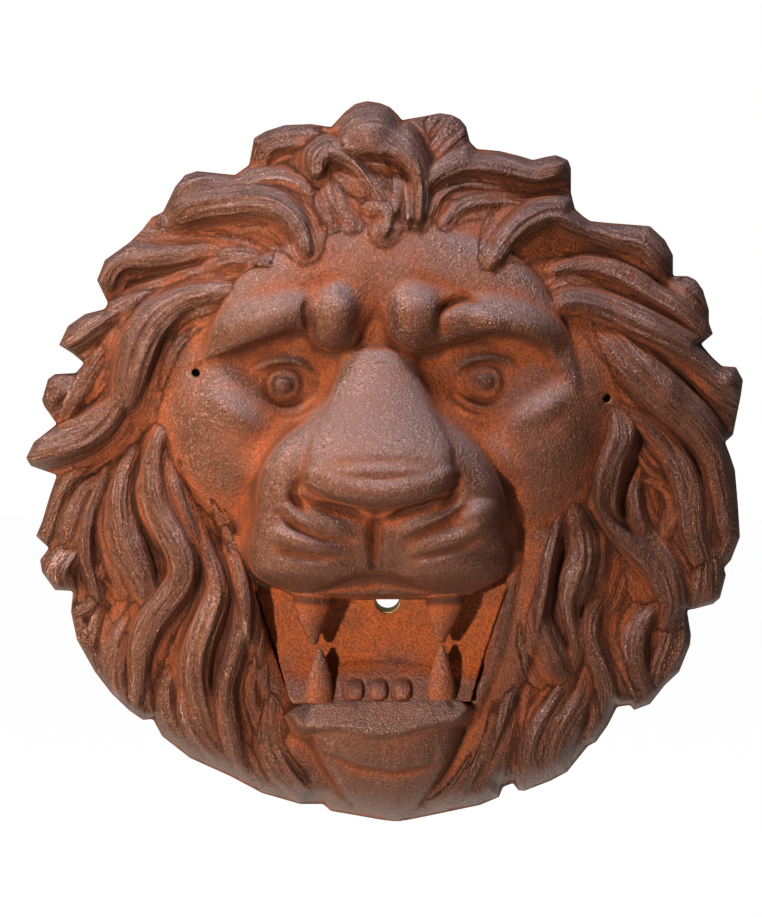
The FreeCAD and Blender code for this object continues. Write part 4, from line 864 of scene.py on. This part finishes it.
def signed_volume(mesh):
    """Volume that the faces enclose, below zero where they point inwards."""
    mesh.calc_loop_triangles()
    corners = np.empty(len(mesh.loop_triangles) * 3, np.int32)
    mesh.loop_triangles.foreach_get("vertices", corners)
    places = np.empty(len(mesh.vertices) * 3, np.float32)
    mesh.vertices.foreach_get("co", places)
    first, second, third = np.swapaxes(places.reshape(-1, 3)[corners.reshape(-1, 3)].astype(float), 0, 1)
    return float(np.einsum("ij,ij->i", first, np.cross(second, third)).sum() / 6)


def select_only(piece):
    """Make a piece the one that operators act on."""
    bpy.ops.object.select_all(action="DESELECT")
    piece.select_set(True)
    bpy.context.view_layer.objects.active = piece


def thin_out(piece, ratio, group=""):
    """Keep a share of the triangles, of all or around a group's vertices, flat parts going first."""
    thin = piece.modifiers.new("Thin", "DECIMATE")
    thin.ratio = ratio
    thin.vertex_group = group
    bpy.ops.object.modifier_apply(modifier=thin.name)


def triangle_count(piece):
    """Triangles that a piece's faces come to."""
    return sum(len(face.vertices) - 2 for face in piece.data.polygons)


def finish_casting(piece, triangles, plain=None):
    """Turn the faces outwards, thin the plain vertices and then all to a count of triangles, and
    shade smooth."""
    select_only(piece)
    if signed_volume(piece.data) < 0:
        bpy.ops.object.mode_set(mode="EDIT")
        bpy.ops.mesh.select_all(action="SELECT")
        bpy.ops.mesh.flip_normals()
        bpy.ops.object.mode_set(mode="OBJECT")
    if plain is not None:
        group = piece.vertex_groups.new(name="plain")
        group.add([int(index) for index in np.flatnonzero(plain)], 1.0, "REPLACE")
        thin_out(piece, 1 - PLAIN_THINNING * np.mean(plain), "plain")
        piece.vertex_groups.clear()
    if triangle_count(piece) > triangles:
        thin_out(piece, triangles / triangle_count(piece))
    bpy.ops.object.shade_smooth()


def write_attribute(piece, name, values):
    """Keep a value at every vertex, for the material."""
    attribute = piece.data.attributes.new(name, "FLOAT", "POINT")
    attribute.data.foreach_set("value", np.asarray(values, np.float32))


def places_of(piece):
    """Places of a piece's vertices, in mm."""
    places = np.empty(len(piece.data.vertices) * 3, np.float32)
    piece.data.vertices.foreach_get("co", places)
    return places.reshape(-1, 3) / MM


# The mask

# Upper fangs from root to tip: across, up, depth, radius in mm
UPPER_FANGS = {
    "left": [(-46, 22, 70, 15), (-47, 6, 71, 12.5), (-47.5, -4, 71, 9.5),
             (-47, -13, 70.5, 6), (-46.5, -20, 70, 3.4)],
    "right": [(36, 22, 70, 15), (36, 6, 71, 12), (35, -4, 71, 9.2),
              (34, -13, 70.5, 6), (33.5, -19, 70, 3.6)],
}
FANG_REAR, FANG_FRONT = 48.0, 90.0
# Fixing holes: middles across and up, and radius, in mm
FIXING_HOLES = [(-119.6, 147.4), (137.3, 130.9)]
FIXING_BORE = 2.7
# Depths in mm of the ledge's front and of the hollow over the mouth, and how far that reaches round it
LEDGE_FRONT = 50.0
MOUTH_ROOM = 66.0
MOUTH_REACH = 18.0
# Least wall in mm, looked for a few voxels to each side, and the most that a slope shortens a depth
WALL = 5.0
WALL_SEARCH = (-4, 0, 4)
STEEPEST = 8.0
# Under the front in mm where the relief's values stop holding, and how far they take to fade
SKIN, SKIN_FADE = 3.0, 6.0


def inside_box(x, z, low, high):
    """Distance in mm inside a node's box, across and up."""
    return np.minimum(np.minimum(x - low[0], high[0] - x), np.minimum(z - low[2], high[2] - z))


def mask_volume(relief, rim, mouth):
    """Mm inside the casting at every voxel, and the place of the first voxel."""
    low, high = bounds_of("lion_mask")
    across = np.arange(low[0] - MARGIN, high[0] + MARGIN, MASK_VOXEL)
    up = np.arange(low[2] - MARGIN, high[2] + MARGIN, MASK_VOXEL)
    depths = np.arange(-LAYERS_PAST, -low[1] + LAYERS_PAST, MASK_VOXEL)
    slope_rows, slope_columns = np.gradient(relief.depth, PIXEL)
    steepness = np.sqrt(1 + slope_rows ** 2 + slope_columns ** 2)
    maps = Sampler(relief, [relief.depth, np.minimum(steepness, STEEPEST), rim, mouth])
    x, z = np.meshgrid(across, up, indexing="ij")
    rear = depth_seen(surface_of("lion_mask"), across, up, BEHIND, -1)
    open_behind = np.isnan(rear)
    front = maps.at(x, np.nan_to_num(rear), z)
    in_mouth = open_behind | (rear > MOUTH_ROOM)
    in_mouth &= front[..., 3] > -MOUTH_REACH
    rear = np.where(in_mouth, MOUTH_ROOM, np.nan_to_num(rear))
    thin = front[..., 0].copy()
    for step_x in WALL_SEARCH:
        for step_z in WALL_SEARCH:
            thin = np.minimum(thin, np.roll(front[..., 0], (step_x, step_z), (0, 1)))
    rear = np.where(in_mouth, rear, np.maximum(np.minimum(rear, thin - WALL), 0))
    box = inside_box(x, z, low, high)
    volume = np.empty((len(across), len(depths), len(up)), np.float32)
    for layer, depth in enumerate(depths):
        seen = maps.at(x, depth, z)
        solid = np.minimum((seen[..., 0] - depth) / seen[..., 1], depth)
        solid = np.minimum(solid, softened(np.clip(depth - rear, -MASK_VOXEL, MASK_VOXEL)) * 1.5)
        closed = np.maximum(-seen[..., 3], LEDGE_FRONT - depth)
        solid = np.minimum(solid, np.minimum(seen[..., 2], closed))
        if FANG_REAR < depth < FANG_FRONT:
            for spine in UPPER_FANGS.values():
                solid = np.maximum(solid, tapered(x, z, depth, spine))
        for middle_x, middle_z in FIXING_HOLES:
            solid = np.minimum(solid, np.hypot(x - middle_x, z - middle_z) - FIXING_BORE)
        volume[:, layer] = np.minimum(solid, box)
    return volume[:, ::-1], np.array([across[0], -depths[-1], up[0]])


# Reach in pixels of the blur that crests, hollows and broad forms stand out from
CREST_REACH, HOLLOW_REACH, BROAD_REACH = 7, 3, 20


def build_mask():
    """The mask's mesh, with what its material has to know of the relief at every vertex."""
    relief, rim, mouth = draw_casting()
    volume, origin = mask_volume(relief, rim, mouth)
    piece = mesh_from_volume("mask_casting", volume, origin, MASK_VOXEL)
    places = places_of(piece)
    over = Sampler(relief, [relief.depth]).at(places[:, 0], -places[:, 1], places[:, 2])[:, 0]
    finish_casting(piece, MASK_TRIANGLES, plain=over + places[:, 1] > WALL)
    places = places_of(piece)
    crest = relief.depth - blurred(relief.depth, CREST_REACH)
    hollow = relief.depth - blurred(relief.depth, HOLLOW_REACH)
    broad = relief.depth - blurred(relief.depth, BROAD_REACH)
    kept = [relief.depth, crest, hollow, broad, relief.hair, relief.across * MM, relief.down * MM]
    seen = Sampler(relief, kept).at(places[:, 0], -places[:, 1], places[:, 2])
    front = np.clip(1 - (seen[:, 0] + places[:, 1] - SKIN) / SKIN_FADE, 0, 1)
    for number, name in enumerate(("crest", "hollow", "broad", "hair"), start=1):
        write_attribute(piece, name, seen[:, number] * front)
    write_attribute(piece, "across", seen[:, 5])
    write_attribute(piece, "down", seen[:, 6])
    return piece


# The mouth plate

# Lower fangs from root to tip: column, row, depth, radius in mm
LOWER_FANGS = {
    "left": [(320, 700, 71, 9), (320, 690, 71, 8.6), (320, 676, 70, 7.2),
             (320, 662, 69, 4.6), (320, 652, 68, 2)],
    "right": [(442, 697, 71, 9), (442, 688, 71, 8.6), (442, 674, 70, 7.0),
              (442, 659, 69, 4.5), (442, 649, 68, 2)],
}
# Gum and incisors: pixels of their middles, half sizes and heights in mm
GUM_COLUMN, GUM_ROW = 379, 683
GUM_HALF_WIDTH, GUM_HALF_HEIGHT = 46.0, 11.0
INCISOR_COLUMNS = (355, 379, 403)
INCISOR_ROW, INCISOR_DEPTH = 690, 71
INCISOR_HALF_WIDTH, INCISOR_HALF_HEIGHT = 5.6, 5.8
TOOTH_RISE, TOOTH_GROOVE = 4.5, 1.6
# Across, in mm, where the plate's profile is clear of the water hole and the teeth
CLEAR_ACROSS = -30.5
# Depth in mm of the flange's front, and how far in front of it the mouth's wall and the fangs start
FLANGE_FRONT, WALL_PAST, FANG_PAST = 40.0, 2.0, 8.0
# How far in mm the plate goes behind the mouth's edge, and a depth behind everything
PLATE_TUCK = 1.0
BEHIND_ALL = -9.0


def plate_front(across, up, seen):
    """Depth of the plate's front: the CAD's wall and floor with a gum and incisors raised on it."""
    x, z = np.meshgrid(across, up, indexing="ij")
    profile = seen[np.abs(across - CLEAR_ACROSS).argmin()]
    profile = np.interp(up, up[~np.isnan(profile)], profile[~np.isnan(profile)])
    front = np.broadcast_to(profile, seen.shape).copy()
    gum_x, _, gum_z = place_at(GUM_COLUMN, GUM_ROW, INCISOR_DEPTH)
    away = np.hypot((x - gum_x) / GUM_HALF_WIDTH, (z - gum_z) / GUM_HALF_HEIGHT)
    front += TOOTH_RISE * np.maximum(1 - away ** 2, 0) ** 0.7
    for column in INCISOR_COLUMNS:
        middle_x, _, middle_z = place_at(column, INCISOR_ROW, INCISOR_DEPTH)
        aside, above = np.abs(x - middle_x) / INCISOR_HALF_WIDTH, np.abs(z - middle_z) / INCISOR_HALF_HEIGHT
        away = (aside ** 3 + above ** 3) ** (1 / 3)
        front += TOOTH_RISE * np.maximum(1 - away ** 4, 0) ** 0.6
        front -= TOOTH_GROOVE * np.exp(-((away - 1.12) / 0.16) ** 2)
    walls = seen > FLANGE_FRONT + WALL_PAST
    return np.where(np.isnan(seen), BEHIND_ALL, np.where(walls, front, seen))


def plate_volume(relief, mouth):
    """Mm inside the plate at every voxel, and the place of the first voxel."""
    low, high = bounds_of("mouth_plate")
    across = np.arange(low[0] - MARGIN, high[0] + MARGIN, PLATE_VOXEL)
    up = np.arange(low[2] - MARGIN, high[2] + MARGIN, PLATE_VOXEL)
    depths = np.arange(-high[1] - MARGIN, -low[1] + 2 * MARGIN, PLATE_VOXEL)
    tree = surface_of("mouth_plate")
    seen = depth_seen(tree, across, up, IN_FRONT, 1)
    rear = np.nan_to_num(depth_seen(tree, across, up, BEHIND, -1))
    front = plate_front(across, up, seen)
    x, z = np.meshgrid(across, up, indexing="ij")
    box = inside_box(x, z, low, high)
    opening = Sampler(relief, [mouth])
    fangs = []
    for spine in LOWER_FANGS.values():
        knots = []
        for column, row, depth, radius in spine:
            knot_x, _, knot_z = place_at(column, row, depth)
            knots.append((knot_x, knot_z, depth, radius))
        fangs.append(knots)
    volume = np.empty((len(across), len(depths), len(up)), np.float32)
    for layer, depth in enumerate(depths):
        steps = np.clip(np.minimum(front - depth, depth - rear), -PLATE_VOXEL, PLATE_VOXEL)
        solid = softened(steps)
        beside_walls = ((rear < depth) & (front > FLANGE_FRONT + WALL_PAST)) | (depth > front)
        if depth > FLANGE_FRONT + FANG_PAST:
            for spine in fangs:
                solid = np.maximum(solid, np.where(beside_walls, tapered(x, z, depth, spine), NOWHERE))
        if depth > LEDGE_FRONT:
            solid = np.minimum(solid, opening.at(x, depth, z)[..., 0] + PLATE_TUCK)
        volume[:, layer] = np.minimum(solid, box)
    return volume[:, ::-1], np.array([across[0], -depths[-1], up[0]])


def build_plate():
    """The mouth plate's mesh."""
    relief, _, mouth = draw_casting()
    volume, origin = plate_volume(relief, mouth)
    piece = mesh_from_volume("plate_casting", volume, origin, PLATE_VOXEL)
    finish_casting(piece, PLATE_TRIANGLES)
    return piece


# Materials

class Socket:
    """A shader socket that takes part in Python expressions."""

    def __init__(self, shader, link):
        self.shader, self.link = shader, link

    def math(self, operation, *others):
        """One Math node on this socket."""
        return self.shader.node("ShaderNodeMath", dict(operation=operation), [self, *others])

    def __add__(self, other):
        return self.math("ADD", other)

    __radd__ = __add__

    def __mul__(self, other):
        return self.math("MULTIPLY", other)

    __rmul__ = __mul__

    def __sub__(self, other):
        return self.math("SUBTRACT", other)

    def __rsub__(self, other):
        return self.shader.node("ShaderNodeMath", dict(operation="SUBTRACT"), [other, self])

    def ramp(self, low, high, start=0.0, end=1.0):
        """Goes smoothly from start to end while the value goes from low to high."""
        return self.shader.node("ShaderNodeMapRange", dict(interpolation_type="SMOOTHSTEP", clamp=True),
                                [self, low, high, start, end])


class Shader:
    """Builds one material's nodes."""

    def __init__(self, name):
        self.material = bpy.data.materials.new(name)
        self.material.use_nodes = True
        self.tree = self.material.node_tree
        self.surface = self.tree.nodes["Principled BSDF"]
        self.place = self.node("ShaderNodeTexCoord", {}, [], output="Object")

    def node(self, kind, settings, inputs, output=0):
        """Any node: its type, its settings, and its inputs as a list, or by name, of values and sockets."""
        node = self.tree.nodes.new(kind)
        for setting, value in settings.items():
            setattr(node, setting, value)
        pairs = inputs.items() if isinstance(inputs, dict) else enumerate(inputs)
        for key, value in pairs:
            if isinstance(value, Socket):
                self.tree.links.new(value.link, node.inputs[key])
            else:
                node.inputs[key].default_value = value
        return Socket(self, node.outputs[output])

    def noise(self, size, detail, roughness, place=None):
        """Cloudy noise whose lumps are a size in mm, about 0.3 to 0.7."""
        inputs = {"Vector": place or self.place, "Scale": 1 / (size * MM), "Detail": detail}
        return self.node("ShaderNodeTexNoise", {}, {**inputs, "Roughness": roughness})

    def cells(self, size):
        """Distance to scattered points a size in mm apart, 0 at a point."""
        return self.node("ShaderNodeTexVoronoi", {},
                         {"Vector": self.place, "Scale": 1 / (size * MM)}, output="Distance")

    def attribute(self, name):
        """A value kept at the mesh's vertices."""
        return self.node("ShaderNodeAttribute", dict(attribute_name=name), {}, output="Fac")

    def mix(self, share, first, second):
        """Colour between two colours."""
        node = self.tree.nodes.new("ShaderNodeMix")
        node.data_type = "RGBA"
        for socket, value in ((node.inputs[0], share), (node.inputs[6], first), (node.inputs[7], second)):
            if isinstance(value, Socket):
                self.tree.links.new(value.link, socket)
            elif isinstance(value, (int, float)):
                socket.default_value = value
            else:
                socket.default_value = (*value, 1.0)
        return Socket(self, node.outputs[2])

    def bump(self, height, distance):
        """Surface relief: a height of 1 stands a distance in mm."""
        return self.node("ShaderNodeBump", {}, {"Height": height, "Distance": distance * MM, "Strength": 1.0})

    def facing(self, axis):
        """How far the surface faces along an axis of the frame, from -1 to 1."""
        normal = self.node("ShaderNodeNewGeometry", {}, {}, output="Normal")
        return self.node("ShaderNodeSeparateXYZ", {}, [normal], output=axis)

    def set(self, **values):
        """Values or sockets for the surface, by the input's name with spaces as underscores."""
        for name, value in values.items():
            socket = self.surface.inputs[name.replace("_", " ")]
            if isinstance(value, Socket):
                self.tree.links.new(value.link, socket)
            else:
                socket.default_value = value


# Cast iron: depth of its pits in mm, roughness where it is polished, reflection at normal angles, and
# how much a lock's grain is drawn out along it
PITS = 0.8
POLISHED = 0.30
REFLECTION = 0.22
DRAWN_OUT = 0.07


def shade(colour, factor):
    """A colour made darker, or lighter above 1."""
    return tuple(factor * part for part in colour)


def rusted_iron(name, rust, iron, film, shaped=True):
    """Cast iron with the sand mould's grain: glossy crests with wear, saturated rust in the hollows. Painted
    shade darkens the hollows.
    The film colour is a painted sky reflection on iron that faces up, and lightened film makes painted glints
    on crests that face the lamps. On a shaped casting crests and hollows come from its relief, otherwise from
    clouds and depth."""
    shader = Shader(name)
    fine = shader.noise(0.9, 2, 0.5)
    grain = shader.noise(1.8, 3, 0.6)
    coarse = shader.noise(5.5, 2, 0.5)
    patches = shader.noise(24, 4, 0.6)
    wide = shader.noise(75, 3, 0.5)
    pocks = shader.cells(3.4).ramp(0.0, 0.4)
    clouds = (patches - 0.5) * 0.8 + (wide - 0.5) * 0.6
    if shaped:
        hair = shader.attribute("hair")
        on_lock = shader.node("ShaderNodeCombineXYZ", {}, [
            shader.attribute("across"), shader.attribute("down") * DRAWN_OUT, 0.0])
        wisps = shader.noise(4.0, 2, 0.5, on_lock) * 0.6 + shader.noise(1.7, 1, 0.5, on_lock) * 0.4
        strands = (wisps - 0.5) * hair + 0.5
        # Gaps between strands, where painted shade darkens the colour
        between = wisps.ramp(0.38, 0.54, 1, 0) * hair
        # Streaks along the strands where painted highlights go
        painted_glint_streaks = wisps.ramp(0.56, 0.68) * hair
        crest = shader.attribute("crest")
        hollow = shader.attribute("hollow").ramp(-1.3, 0.0, 1, 0)
        height = crest.ramp(-4.0, 3.0) * 0.5 + shader.attribute("broad").ramp(-11, 8) * 0.5
        bare = (height + clouds + (strands - 0.5) * 1.2).ramp(0.15, 0.90)
        deep = crest.ramp(-6.0, -0.5, 1, 0)
    else:
        hair = 0.0
        strands = 0.5
        between = 0.0
        painted_glint_streaks = 0.0
        hollow = patches.ramp(0.62, 0.75)
        depth = shader.node("ShaderNodeSeparateXYZ", {}, [shader.place], output="Y")
        bare = clouds.ramp(-0.1, 0.25) * 0.45 + depth.ramp(-0.058, -0.068) * 0.55
        deep = hollow * 0.2
    speckle = (fine * 0.35 + grain * 0.65).ramp(0.40, 0.56)
    cover = shader.mix(bare * 0.92, shader.mix(speckle, shade(rust, 0.5), rust), iron)
    upwards = shader.facing("Z").ramp(0.0, 0.8)
    leftwards = shader.facing("X").ramp(-0.1, -0.8)
    # Iron that faces up takes the film colour: a painted reflection of the sky
    cover = shader.mix(upwards * bare * (0.6 - 0.2 * hair), cover, film)
    # On the relief, small hollows go dark and deep hollows and gaps between strands near black: painted
    # shade; on the plate the same darkening falls on random patches
    cover = shader.mix(hollow * 0.6, cover, shade(rust, 0.25))
    cover = shader.mix(deep * 0.7 + between * 0.5, cover, shade(rust, 0.13))
    polish = bare * (1 - hollow * 0.8)
    # Specks of wear and the strand streaks, on crests facing the sky and the low sun on the left, get
    # lightened film: painted glints over real wear
    wear_and_glint_specks = (fine * 0.4 + grain * 0.6).ramp(0.54, 0.66) * 0.7 + painted_glint_streaks * 0.4
    wear_and_painted_glints = polish * wear_and_glint_specks * ((upwards + leftwards * 0.8) * 0.7 + 0.25)
    cover = shader.mix(wear_and_painted_glints, cover, shade(film, 2.3))
    shader.set(
        Base_Color=cover,
        Roughness=(1 - polish) * 0.4 + POLISHED + (grain - 0.5) * 0.25,
        Metallic=polish * 0.5 + wear_and_painted_glints * 0.4,
        Normal=shader.bump(pocks * 0.4 + fine * 0.7 + grain * 1.5 + coarse * 0.9 + strands * 4.6, PITS),
        Specular_IOR_Level=REFLECTION,
    )
    return shader.material


def brushed_metal(name, colour, roughness):
    """Turned or rolled metal with fine marks and a dull film in patches."""
    shader = Shader(name)
    stretched = shader.node("ShaderNodeMapping", {}, {"Vector": shader.place, "Scale": (1, 9, 1)})
    marks = shader.noise(1.2, 2, 0.5, stretched)
    film = shader.noise(9, 4, 0.6)
    shader.set(
        Base_Color=shader.mix(film.ramp(0.45, 0.7) * 0.6, colour, shade(colour, 0.45)),
        Roughness=film * 0.3 + roughness + (marks - 0.5) * 0.15,
        Metallic=1.0,
        Normal=shader.bump(marks, 0.05),
    )
    return shader.material


def pressed_sheet(name, colour, fibre):
    """Rubber or fibre: matt and dusty, with a grain of a size in mm."""
    shader = Shader(name)
    grain = shader.noise(fibre, 3, 0.6)
    dust = shader.noise(14, 3, 0.6)
    dusty = tuple(1.6 * part + 0.02 for part in colour)
    shader.set(
        Base_Color=shader.mix(dust.ramp(0.4, 0.7) * 0.5, colour, dusty),
        Roughness=grain * 0.2 + 0.68,
        Normal=shader.bump(grain, 0.12),
    )
    return shader.material


def dress(node, material):
    """Give a CAD node its material."""
    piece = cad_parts[node]
    for slot in piece.material_slots:
        slot.link = "OBJECT"
        slot.material = material


# Stage

# Where the lamps point, in metres, and each lamp's name, place, width, height and colour
LIT_PLACE = (0, -0.05, 0.08)
LAMPS = [
    ("key", (-0.85, -1.9, 0.25), 0.1, 0.1, (1.0, 0.94, 0.85)),
    ("low_sun", (-2.2, -0.4, 0.3), 0.25, 0.25, (1.0, 0.74, 0.40)),
    ("sky", (-0.1, -0.6, 1.9), 0.4, 0.3, (0.86, 0.92, 1.0)),
]
FLOOR_SIZE = 14.0
FLOOR_SHADE = (0.84, 0.84, 0.83)
AMBIENT_COLOUR = (0.93, 0.96, 1.0)


def add_lamp(name, place, width, height, colour, power):
    """A soft rectangular lamp that points at the casting."""
    lamp = bpy.data.lights.new(name, "AREA")
    lamp.shape, lamp.size, lamp.size_y = "RECTANGLE", width, height
    lamp.energy, lamp.color = power, colour
    holder = bpy.data.objects.new(name, lamp)
    holder.location = place
    holder.rotation_euler = (Vector(LIT_PLACE) - Vector(place)).to_track_quat("-Z", "Y").to_euler()
    bpy.context.scene.collection.objects.link(holder)


def pale_ground(name, colour):
    """Plain pale paint that the lens sees as white."""
    shader = Shader(name)
    shader.set(Base_Color=(*colour, 1.0), Roughness=0.9)
    seen = shader.node("ShaderNodeLightPath", {}, {}, output="Is Camera Ray")
    glow = shader.node("ShaderNodeEmission", {}, {"Color": (1, 1, 1, 1), "Strength": 1.08})
    paint = Socket(shader, shader.surface.outputs[0])
    mixed = shader.node("ShaderNodeMixShader", {}, [seen * 0.9, paint, glow])
    shader.tree.links.new(mixed.link, shader.tree.nodes["Material Output"].inputs[0])
    return shader.material


def light_world(strength):
    """Even light from all around, and a white background for the lens."""
    world = bpy.data.worlds.new("studio")
    bpy.context.scene.world = world
    world.use_nodes = True
    tree = world.node_tree
    ambient = tree.nodes["Background"]
    ambient.inputs["Color"].default_value = (*AMBIENT_COLOUR, 1)
    ambient.inputs["Strength"].default_value = strength
    white = tree.nodes.new("ShaderNodeBackground")
    white.inputs["Strength"].default_value = 1.0
    white.inputs["Color"].default_value = (1, 1, 1, 1)
    path = tree.nodes.new("ShaderNodeLightPath")
    mix = tree.nodes.new("ShaderNodeMixShader")
    tree.links.new(path.outputs["Is Camera Ray"], mix.inputs[0])
    tree.links.new(ambient.outputs[0], mix.inputs[1])
    tree.links.new(white.outputs[0], mix.inputs[2])
    tree.links.new(mix.outputs[0], tree.nodes["World Output"].inputs[0])


def add_camera():
    """The camera that took the photograph."""
    camera = bpy.data.cameras.new("camera")
    camera.sensor_width = 36.0
    camera.lens = camera.sensor_width * FOCAL / ROWS
    camera.clip_start, camera.clip_end = 0.05, 40.0
    holder = bpy.data.objects.new("camera", camera)
    holder.location = Vector(LENS * MM)
    holder.rotation_euler = (math.pi / 2 - VIEW_RISE, 0, 0)
    bpy.context.scene.collection.objects.link(holder)
    bpy.context.scene.camera = holder


# Add-on

# Rust on the mouth plate is this much lighter than on the mask: partly the plate's own sandier rust, partly
# painted light against the shade inside the mouth
PLATE_RUST_AND_PAINTED_LIGHT = 1.3
# Colours of the fittings
RUBBER = (0.02, 0.02, 0.022)
SCREW_STEEL = (0.42, 0.40, 0.38)
WASHER_STEEL = (0.46, 0.44, 0.42)
BRASS = (0.72, 0.50, 0.20)
FIBRE = (0.34, 0.07, 0.04)


class FountainFinish(bpy.types.PropertyGroup):
    """Colours of the castings."""
    rust: FloatVectorProperty(
        name="Rust", description="Rust in the hollows of the castings", subtype="COLOR", min=0, max=1,
        default=(0.215, 0.043, 0.007))
    iron: FloatVectorProperty(
        name="Iron", description="Worn dark iron on the crests", subtype="COLOR", min=0, max=1,
        default=(0.066, 0.025, 0.014))
    # The sheen colour is a painted reflection of the sky on iron that faces up
    painted_sky_sheen: FloatVectorProperty(
        name="Sheen", description="Grey lilac film on iron that faces the sky", subtype="COLOR", min=0, max=1,
        default=(0.165, 0.103, 0.098))


class FountainStage(bpy.types.PropertyGroup):
    """Light and ground."""
    floor_height: FloatProperty(
        name="Floor", description="Height of the floor under the water hole", unit="LENGTH", default=-1.1)
    lamp_power: FloatProperty(
        name="Lamps", description="Power of each lamp", unit="POWER", min=0, default=80.0)
    world_strength: FloatProperty(
        name="Ambient", description="Strength of the light from all around", min=0, default=0.09)


class FOUNTAIN_OT_mask(bpy.types.Operator):
    """Cast the lion's mask from its relief"""
    bl_idname = "fountain.mask"
    bl_label = "Mask casting"

    def execute(self, context):
        finish = context.scene.fountain_finish
        piece = build_mask()
        piece.data.materials.append(rusted_iron("iron_mask", finish.rust, finish.iron, finish.painted_sky_sheen))
        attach(piece, "root")
        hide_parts("lion_mask")
        return {"FINISHED"}


class FOUNTAIN_OT_plate(bpy.types.Operator):
    """Cast the plate that closes the mouth, with the lower teeth"""
    bl_idname = "fountain.plate"
    bl_label = "Mouth plate"

    def execute(self, context):
        finish = context.scene.fountain_finish
        piece = build_plate()
        # The lighter rust is partly painted light against the mouth's shade
        rust = shade(finish.rust, PLATE_RUST_AND_PAINTED_LIGHT)
        piece.data.materials.append(rusted_iron("iron_plate", rust, finish.iron, finish.painted_sky_sheen, shaped=False))
        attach(piece, "root")
        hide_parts("mouth_plate")
        return {"FINISHED"}


class FOUNTAIN_OT_fittings(bpy.types.Operator):
    """Finish the plate's gasket, screws and washers, and the bush for the water pipe"""
    bl_idname = "fountain.fittings"
    bl_label = "Fittings"

    def execute(self, context):
        dress("plate_gasket", pressed_sheet("rubber", RUBBER, 0.6))
        dress("plate_screws", brushed_metal("screw_steel", SCREW_STEEL, 0.34))
        dress("plate_washers", brushed_metal("washer_steel", WASHER_STEEL, 0.3))
        dress("spout_bush", brushed_metal("bush_brass", BRASS, 0.25))
        dress("bush_washer", pressed_sheet("fibre", FIBRE, 1.0))
        return {"FINISHED"}


class FOUNTAIN_OT_stage(bpy.types.Operator):
    """Set the floor, the lamps and the camera"""
    bl_idname = "fountain.stage"
    bl_label = "Stage"

    def execute(self, context):
        stage = context.scene.fountain_stage
        bpy.ops.object.select_all(action="DESELECT")
        bpy.ops.mesh.primitive_plane_add(size=FLOOR_SIZE, location=(0, 0, stage.floor_height))
        floor = context.object
        floor.name = "floor"
        floor.data.transform(floor.matrix_world)
        floor.matrix_world.identity()
        floor.data.materials.append(pale_ground("ground", FLOOR_SHADE))
        for lamp in LAMPS:
            add_lamp(*lamp, stage.lamp_power)
        light_world(stage.world_strength)
        add_camera()
        context.scene.view_settings.view_transform = "Standard"
        return {"FINISHED"}


class FOUNTAIN_PT_panel(bpy.types.Panel):
    """The fountain's pieces"""
    bl_idname = "FOUNTAIN_PT_panel"
    bl_label = "Garden wall fountain"
    bl_space_type = "VIEW_3D"
    bl_region_type = "UI"
    bl_category = "Fountain"

    def draw(self, context):
        layout = self.layout
        for settings in (context.scene.fountain_finish, context.scene.fountain_stage):
            for name in settings.__annotations__:
                layout.prop(settings, name)
        for operator in OPERATORS:
            layout.operator(operator.bl_idname)


OPERATORS = (FOUNTAIN_OT_mask, FOUNTAIN_OT_plate, FOUNTAIN_OT_fittings, FOUNTAIN_OT_stage)
GROUPS = {"fountain_finish": FountainFinish, "fountain_stage": FountainStage}


def register():
    """Make the pieces' operators, settings and panel known to Blender."""
    for item in (*GROUPS.values(), *OPERATORS, FOUNTAIN_PT_panel):
        bpy.utils.register_class(item)
    for name, group in GROUPS.items():
        setattr(bpy.types.Scene, name, PointerProperty(type=group))


def unregister():
    """Take them away again."""
    for name in GROUPS:
        delattr(bpy.types.Scene, name)
    for item in (FOUNTAIN_PT_panel, *reversed(OPERATORS), *reversed(tuple(GROUPS.values()))):
        bpy.utils.unregister_class(item)


def main():
    """Build every piece and the stage."""
    register()
    bpy.ops.fountain.mask()
    bpy.ops.fountain.plate()
    bpy.ops.fountain.fittings()
    bpy.ops.fountain.stage()


if __name__ == "__main__":
    main()
